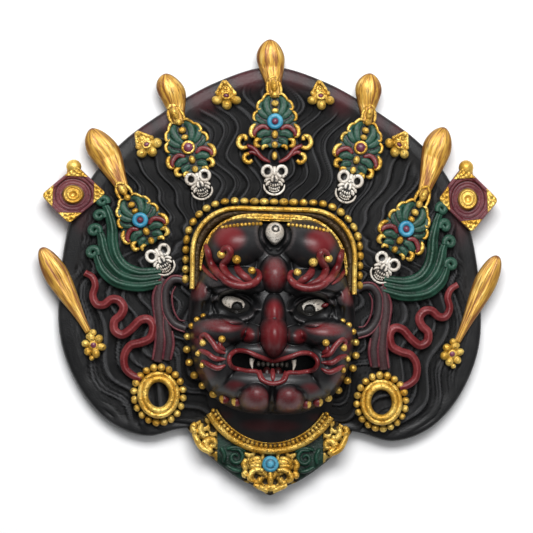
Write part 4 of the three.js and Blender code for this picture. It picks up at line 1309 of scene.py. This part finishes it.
def crown():
    """Everything on the five finials, and the two low petals, gathered by what it is."""
    parts = {name: [] for name in ("petals", "leaves", "gold", "arms", "discs", "stones", "skulls")}
    for finial in FINIALS:
        lean, kind = finial["lean"], finial["kind"]
        foot, tip = on_finial(finial, finial["foot"]), on_finial(finial, finial["tip"], finial["bend"])
        for side in (1, -1) if lean else (1,):
            skew = LEFT_SKEW if side < 0 else 0
            parts["petals"].append(petal(foot, tip, finial["width"], side, skew))
            at = placer(*on_finial(finial, finial["jewel"]), lean, side)
            for made in (jewel_parts(at, side * lean, kind == "curled"), set_stone(at, kind)):
                for name, forms in made.items():
                    parts[name] += forms
            at = placer(*on_finial(finial, SKULL_ALONG), lean, side)
            parts["skulls"].append(skull(at, side * lean))
    for side, foot in zip((1, -1), LOW_PETAL["feet"]):
        low = petal(foot, LOW_PETAL["tip"], LOW_PETAL["width"], side, neck=0.28, blunt=0.5)
        parts["petals"].append(low)
    return {name: join(forms) for name, forms in parts.items()}


crown_parts = crown()
piece("petals", crown_parts["petals"], petal_paint())
piece("jewel_leaves", crown_parts["leaves"], green_paint, hollow=(3, 0.3))
piece("jewel_gold", crown_parts["gold"], gold_paint)
piece("jewel_arms", crown_parts["arms"], red_paint)
piece("jewel_discs", crown_parts["discs"], turquoise_paint)
piece("jewel_stones", crown_parts["stones"], garnet_paint)
piece("skulls", crown_parts["skulls"], bone_paint)


# Ornaments on the hair

def trefoil(x, y, lean):
    """A pointed leaf over three beads, with a dimpled ring where they meet, and the ring's stone."""
    at = placer(x, y, lean)
    z = float(plaque_height(x, y))
    outline = [at(u, v) for u, v in curve(both_halves(TREFOIL_HALF), 48, closed=True)]
    centre = at(0, 1)

    def height(px, py):
        return z + 4.2 - 0.42 * np.hypot(px - centre[0], py - centre[1]) + 0.35 * ripple(px, py, 0.9, 0.3)

    made = [plate(outline, centre, np.linspace(1, 0.08, 14), height, z - 3)]
    for u, v, r in TREFOIL_BEADS:
        made.append(ball(*at(u, v), z + 2.6, chance.uniform(0.88, 1.12, 3) * r))
    for side in (-1, 1):
        edge = [at(side * u, v) for u, v in ((0.4, 8.6), (2.6, 5), (4.8, 1.6))]
        made.append(bar(edge, tapered(0.8, 0.5, 0.8), floor=flat_at(z + 2.7)))
    made.append(hoop(*at(0, 0.2), z + 4.6, 2.0, 1.6, 0.7, lean, columns=24, sides=8))
    return join(made), ball(*at(0, 0.2), z + 4.5, (1.5, 1.1, 0.9), lean)


def rosette(x, y):
    """Six uneven round petals about a dimple, beads that lead to the petal above, and the stone in
    the dimple."""
    made = []
    for k in range(6):
        a = TAU * k / 6 + 0.2
        own = chance.uniform(0.85, 1.15, 3) * (2.5, 2.2, 2.2)
        made.append(on_hair(x + 4.3 * math.cos(a), y + 4.5 * math.sin(a), 1.6, own, -math.degrees(a)))
    for dx, dy, r in ((0, 0, 2.9), (0.4, 6.6, 2.0), (2.6, 4.6, 1.7), (0.8, -6.8, 1.5)):
        made.append(on_hair(x + dx, y + dy, 1.5, (r, r, 1.8)))
    return join(made), on_hair(x, y, 2.6, (1.7, 1.7, 1.0))


def tablet():
    """A square slab, turned on its corner: a raised border, a round recess about a ring, and
    gilded corners between the two. A knob on a collar stands at its upper corner."""
    x, y, turn = TABLET["x"], TABLET["y"], TABLET["turn"]
    half_u, half_v = TABLET["width"] / 2, TABLET["height"] / 2
    base = PLAQUE["edge"] - 1
    top = base + TABLET["thick"]
    a = TAU * np.arange(240) / 240
    squareness = (np.abs(np.cos(a)) ** 9 + np.abs(np.sin(a)) ** 9) ** (1 / 9)
    dx, dy = turned(half_u * np.cos(a) / squareness, half_v * np.sin(a) / squareness, turn)
    outline = np.column_stack([x + dx, y + dy])

    def measures(px, py):
        """Place in the slab's own axes, distance from its middle, from its edge, and corner share."""
        u, v = turned(px - x, py - y, -turn)
        du, dv = half_u - np.abs(u), half_v - np.abs(v)
        return u, v, np.hypot(u, v), np.minimum(du, dv), smooth((9.6 - du - dv) / 0.7)

    def height(px, py):
        u, v, r, edge, corner = measures(px, py)
        border = 0.9 * smooth(edge / 0.5) * (1 - smooth((edge - 1.5) / 0.5)) * (1 - corner)
        recess = -1.3 * smooth((9.9 - r) / 0.7) * (1 - corner)
        waves = 0.16 * np.cos(TAU * r / 1.7) * smooth((9.4 - r) / 0.6) * smooth((r - 5.6) / 0.5)
        ring = 3.0 * smooth((5.5 - r) / 0.9) - 1.5 * smooth((2.1 - r) / 1.3)
        ring = ring - 0.5 * smooth((0.7 - abs(r - 3.6)) / 0.5)
        carved = 1.5 * corner * smooth(edge / 0.5) * (0.62 + 0.38 * ripple(u, v, 0.85, 0.7))
        return top + border + recess + waves + ring + carved

    def gilt(px, py):
        r, edge, corner = measures(px, py)[2:]
        return np.maximum(corner * smooth(edge / 0.4), smooth((5.7 - r) / 0.3))

    shares = np.r_[1, 0.985, np.linspace(0.965, 0.02, 46)]
    slab = plate(outline, (x, y), shares, height, base, {"gilt": gilt})
    kx, ky = turned(-half_u * 0.86, half_v * 1.02, turn)
    knob = marked(ball(x + kx, y + ky, base + 3.8, (4.1, 4.1, 3.6)), gilt=1, low=0)
    collar = ball(x + kx * 0.93, y + ky * 0.88, base + 3.6, (4.4, 3.0, 2.8), turn)
    return pair(join([slab, knob, marked(collar, gilt=1, low=0.2)]))


def earring():
    """An oval ring with a double ridge, and beads around it."""
    x, y, rx, ry = (EARRING[k] for k in ("x", "y", "rx", "ry"))
    z = float(plaque_height(x, y))
    made = [
        hoop(x, y, z + 2.0, rx + 1.0, ry + 1.0, 1.5, tall=1.3, columns=72, sides=14),
        hoop(x, y, z + 2.2, rx - 1.5, ry - 1.6, 2.0, tall=1.2, columns=72, sides=16),
    ]
    for k in range(EARRING["beads"]):
        a = TAU * (k + 0.3) / EARRING["beads"]
        own = chance.uniform(0.9, 1.1, 3) * EARRING["bead"]
        px, py = x + (rx + 4.3) * math.cos(a), y + (ry + 4.5) * math.sin(a)
        made.append(on_hair(px, py, 1.3, own, rows=8, sides=12))
    return join(made)


def ears():
    """Ears and straps: a dark rim round a bowl and a broad dark strap in two strips below the
    temple, and apart from them the thin maroon lines along their edges."""
    floor = raised(plaque_height, 0.6)
    dark = []
    for points, radius, maroon in EAR_STRIPS:
        strip = bar(points, tapered(radius, 0.7, 0.8), floor=floor, lift=0.4, tall=0.85, step=0.6, sides=20)
        dark.append(marked(strip, low=0, maroon=maroon, black=0.2))
    lines = [
        bar(points, tapered(radius, 0.6, 0.7), floor=floor, lift=1.5, tall=1.1, step=0.7, sides=12)
        for points, radius in EAR_LINES
    ]
    return pair(join(dark)), pair(join(lines))


def plumes():
    """Three ribs that run out together and part, each with grooves along it, and rolled heads."""
    strands = [
        bar(path, tapered(radius, 0.75, 0.6), lift=1.0, sides=28, step=0.6, flutes=2, groove=0.3)
        for path, radius in PLUMES
    ]
    for x, y, radius in PLUME_ROLLS:
        roll = spiral(x, y, radius, 200, -1.15, 0.2)
        strands.append(bar(roll, tapered(1.7, 0.9, 0.9), lift=1.6, tall=1.1, step=0.4))
    return pair(join(strands))


def right_and_left(forms):
    """Two forms drawn on the right half, the second carried over to the left."""
    right, left = forms
    return join([right, mirrored(left)])


trefoils, trefoil_stones = zip(*(trefoil(*place) for place in TREFOILS))
rosettes, rosette_stones = zip(*(rosette(*place) for place in ROSETTES))
small_stones = join([pair(join(trefoil_stones)), right_and_left(rosette_stones)])
ribbon = bar(RIBBON, tapered(2.4, 0.7, 0.8), lift=1.4, tall=1.1, sides=28, step=0.6, flutes=2, groove=0.16)
ear_strips, ear_lines = ears()
piece("trefoils", pair(join(trefoils)), gold_paint, hollow=(3, 0.9))
piece("rosettes", right_and_left(rosettes), gold_paint, hollow=(3, 0.9))
piece("small_stones", small_stones, garnet_paint)
piece("tablets", tablet(), maroon_paint, hollow=(5, 0.4))
piece("earrings", pair(earring()), gold_paint)
piece("ears", ear_strips, face_material, hollow=(4, 0.3))
piece("ear_lines", ear_lines, maroon_paint)
piece("ribbons", pair(ribbon), red_paint, hollow=(4, 0.3))
piece("plumes", plumes(), green_paint, hollow=(3, 0.3))


# Neck and gorget

def neck():
    """The throat: a shallow dome from the chin down to the gorget, reddened in two places."""
    centre, radius = GORGET["centre"], GORGET["throat"]
    a = TAU * np.arange(200) / 200
    outline = np.column_stack([radius * np.cos(a), np.minimum(centre + radius * np.sin(a), centre)])

    def height(x, y):
        share = np.hypot(x, y - centre) / radius
        return 12.5 + 12 * np.clip(1 - share**2.2, 0, 1)

    def maroon(x, y):
        return soft_spot(x, y, THROAT_MAROON)

    return plate(outline, (0, -80), np.linspace(1, 0.05, 50), height, 4, {"maroon": maroon})


def gilt_panels(x, y):
    """Share of gilding, 1 at the sides and the middle, and soft blobs between 0 and 1."""
    ax = np.abs(x)
    gilt = np.maximum(smooth((ax - 28) / 1.2), smooth((15.6 - ax) / 1.2))
    return gilt, smooth((ripple(ax, y, 1.7, 0.9) + 0.25) / 0.4)


def gorget_arc(radius, span):
    """Points of an arc about the gorget's centre and below it, from left to right."""
    angles = np.linspace(-span, span, 15) - math.pi / 2
    return [(radius * math.cos(a), GORGET["centre"] + radius * math.sin(a)) for a in angles]


def gorget_slope(x, y):
    """The height of the gorget's collar, which rises from the point up to the corners."""
    return GORGET["height"] + mix(0.4, 3.4, np.clip((y + 97) / 22, 0, 1))


def gorget_plate():
    """The plate between the throat and the gorget's outer edge, slightly crowned and worked where
    it is gilded."""
    height = GORGET["height"]
    half = [(0, POINT), *GORGET_EDGE]
    outer = curve(half[::-1] + [(-x, y) for x, y in half[1:]], 160)
    span = np.linspace(1.06, -1.06, 160) - math.pi / 2
    inner = np.column_stack([np.cos(span), np.sin(span)]) * GORGET["inner"] + (0, GORGET["centre"])
    s = np.r_[0, 0.02, 0.05, np.linspace(0.08, 0.95, 34), 0.985, 1][:, None]
    plan = mix(inner, outer, s[..., None])
    gilt, worked = gilt_panels(plan[..., 0], plan[..., 1])
    edge = 2.2 * np.abs(2 * s - 1) ** 6
    top = np.dstack([plan, height - 0.9 - edge + 0.7 * gilt * worked])
    under = np.dstack([plan[::-1], np.zeros((*plan.shape[:2], 1))])
    loop = np.concatenate([top, under]).transpose(1, 0, 2)
    form = shell(loop, loop[0].mean(0), loop[-1].mean(0))
    gilt, worked = gilt_panels(form.points[:, 0], form.points[:, 1])
    side = smooth((height - 3 - form.points[:, 2]) / 1.5)
    low = mix(0.45, 0.35 + 0.95 * (1 - worked), gilt)
    return marked(form, gilt=gilt * (1 - side), low=mix(low, 1.1, side))


def gorget_work(paths, radius, start, end, lift):
    """Scrolls or lobes raised on the gorget's plate, mirrored left and right."""
    floor = flat_at(GORGET["height"])
    rod = tapered(radius, start, end)
    made = [bar(points, rod, floor=floor, lift=lift, tall=1.1, step=0.5) for points in paths]
    return pair(join(made))


def gorget_gold():
    """The collar's tube, beads and inner line on a dark bed, then scrolls at the sides, and lobes
    and three bosses about the stone."""
    z, beads = GORGET["height"], gorget_arc(GORGET["beads"], 1.08)
    bed = bar(gorget_arc(GORGET["beads"], 1.07), even(1.9), floor=gorget_slope, lift=0.1, tall=0.7)
    return join([
        bar(gorget_arc(GORGET["tube"], 1.07), even(1.9), floor=gorget_slope, lift=0.6, tall=1.1, sides=16),
        bead_row(beads, 2.5, (1.15, 1.3, 1.2), raised(gorget_slope, 0.9)),
        bar(gorget_arc(GORGET["line"], 1.07), even(0.6), floor=gorget_slope, lift=1.0, tall=1.1, sides=10),
        marked(bed, low=1.2),
        gorget_work(GORGET_SCROLLS, 1.75, 0.6, 0.5, 0.4),
        gorget_work(GORGET_LOBES, 1.6, 0.7, 0.6, 0.5),
        pair(ball(8, -105.2, z + 0.4, (4.2, 2.5, 1.8), 8)),
        ball(0, -114, z + 0.5, (1.8, 4.4, 1.9)),
        ball(0, -118.6, z, (4.6, 2.0, 1.5)),
    ])


def gorget_stone():
    """A round stone with a dark ring cut into its top."""
    z = GORGET["height"]
    form = ball(0, GORGET["disc"], z + 0.9, (4.5, 4.5, 2.2), rows=24, sides=40)
    r = np.hypot(form.points[:, 0], form.points[:, 1] - GORGET["disc"])
    form.points[:, 2] -= 0.7 * bell(r, 2.3, 0.5) * (form.points[:, 2] > z)
    return marked(form, low=0.8 * bell(r, 2.3, 0.6))


piece("neck", neck(), face_material)
piece("gorget_plate", gorget_plate(), green_paint)
piece("gorget_gold", gorget_gold(), gold_paint)
piece("gorget_leaves", gorget_work(GORGET_LEAVES, 1.15, 0.7, 0.5, 0.4), green_paint)
piece("gorget_stone", gorget_stone(), turquoise_paint)


# Floor, lights and camera

FRAME_WIDTH = 287.8  # millimetres that the photograph's frame spans at the height of the rim
FRAME_MIDDLE = (-1.9, 0.5)
DISTANCE = 2500
SIDEWAYS = 2.4  # degrees that the camera looks in from the left
SENSOR = 36
FLOOR_HALF = 2  # metres
FLOOR_GAP = 0.0004
# Softboxes: name, place and size in metres, watts
SOFTBOXES = [("key", (0.0, 0.72, 1.15), (1.0, 0.55), 22), ("fill", (0.3, 0.1, 1.5), (0.9, 0.9), 4.5)]
SKY = (0.95, 0.975, 1.0, 1)
SKY_STRENGTH = 0.14


def white_floor():
    h = FLOOR_HALF
    mesh = bpy.data.meshes.new("floor")
    mesh.from_pydata([(-h, -h, 0), (h, -h, 0), (h, h, 0), (-h, h, 0)], [], [(0, 1, 2, 3)])
    made = bpy.data.objects.new("floor", mesh)
    made.location.z = -FLOOR_GAP
    bpy.context.scene.collection.objects.link(made)
    paint = Paint("floor_paint")
    colour = paint.blend(paint.noise(40), (0.94, 0.94, 0.95), (0.96, 0.96, 0.96))
    mesh.materials.append(paint.finish(colour, 0.7, paint.bump(paint.noise(3), 0.01)))


def sky():
    world = bpy.data.worlds.new("studio")
    world.use_nodes = True
    background = world.node_tree.nodes["Background"]
    background.inputs["Color"].default_value = SKY
    background.inputs["Strength"].default_value = SKY_STRENGTH
    bpy.context.scene.world = world
    bpy.context.scene.view_settings.view_transform = "Standard"


def softbox(name, place, size, power):
    """A rectangular light that looks at the middle of the mask."""
    light = bpy.data.lights.new(name, "AREA")
    light.shape = "RECTANGLE"
    light.size, light.size_y = size
    light.energy = power
    made = bpy.data.objects.new(name, light)
    made.location = place
    made.rotation_mode = "QUATERNION"
    made.rotation_quaternion = Vector(-np.array(place)).to_track_quat("-Z", "Y")
    bpy.context.scene.collection.objects.link(made)


def camera():
    """Looks down from the distance at which the lens spans the frame, a little from the left."""
    data = bpy.data.cameras.new("camera")
    data.lens = SENSOR * DISTANCE / FRAME_WIDTH
    data.clip_end = 10
    made = bpy.data.objects.new("camera", data)
    aim = Vector((FRAME_MIDDLE[0] * MM, FRAME_MIDDLE[1] * MM, PLAQUE["edge"] * MM))
    off = math.radians(SIDEWAYS)
    made.location = aim + Vector((-math.sin(off), 0, math.cos(off))) * DISTANCE * MM
    made.rotation_euler = (0, -off, 0)
    bpy.context.scene.collection.objects.link(made)
    bpy.context.scene.camera = made


white_floor()
sky()
for box in SOFTBOXES:
    softbox(*box)
camera()
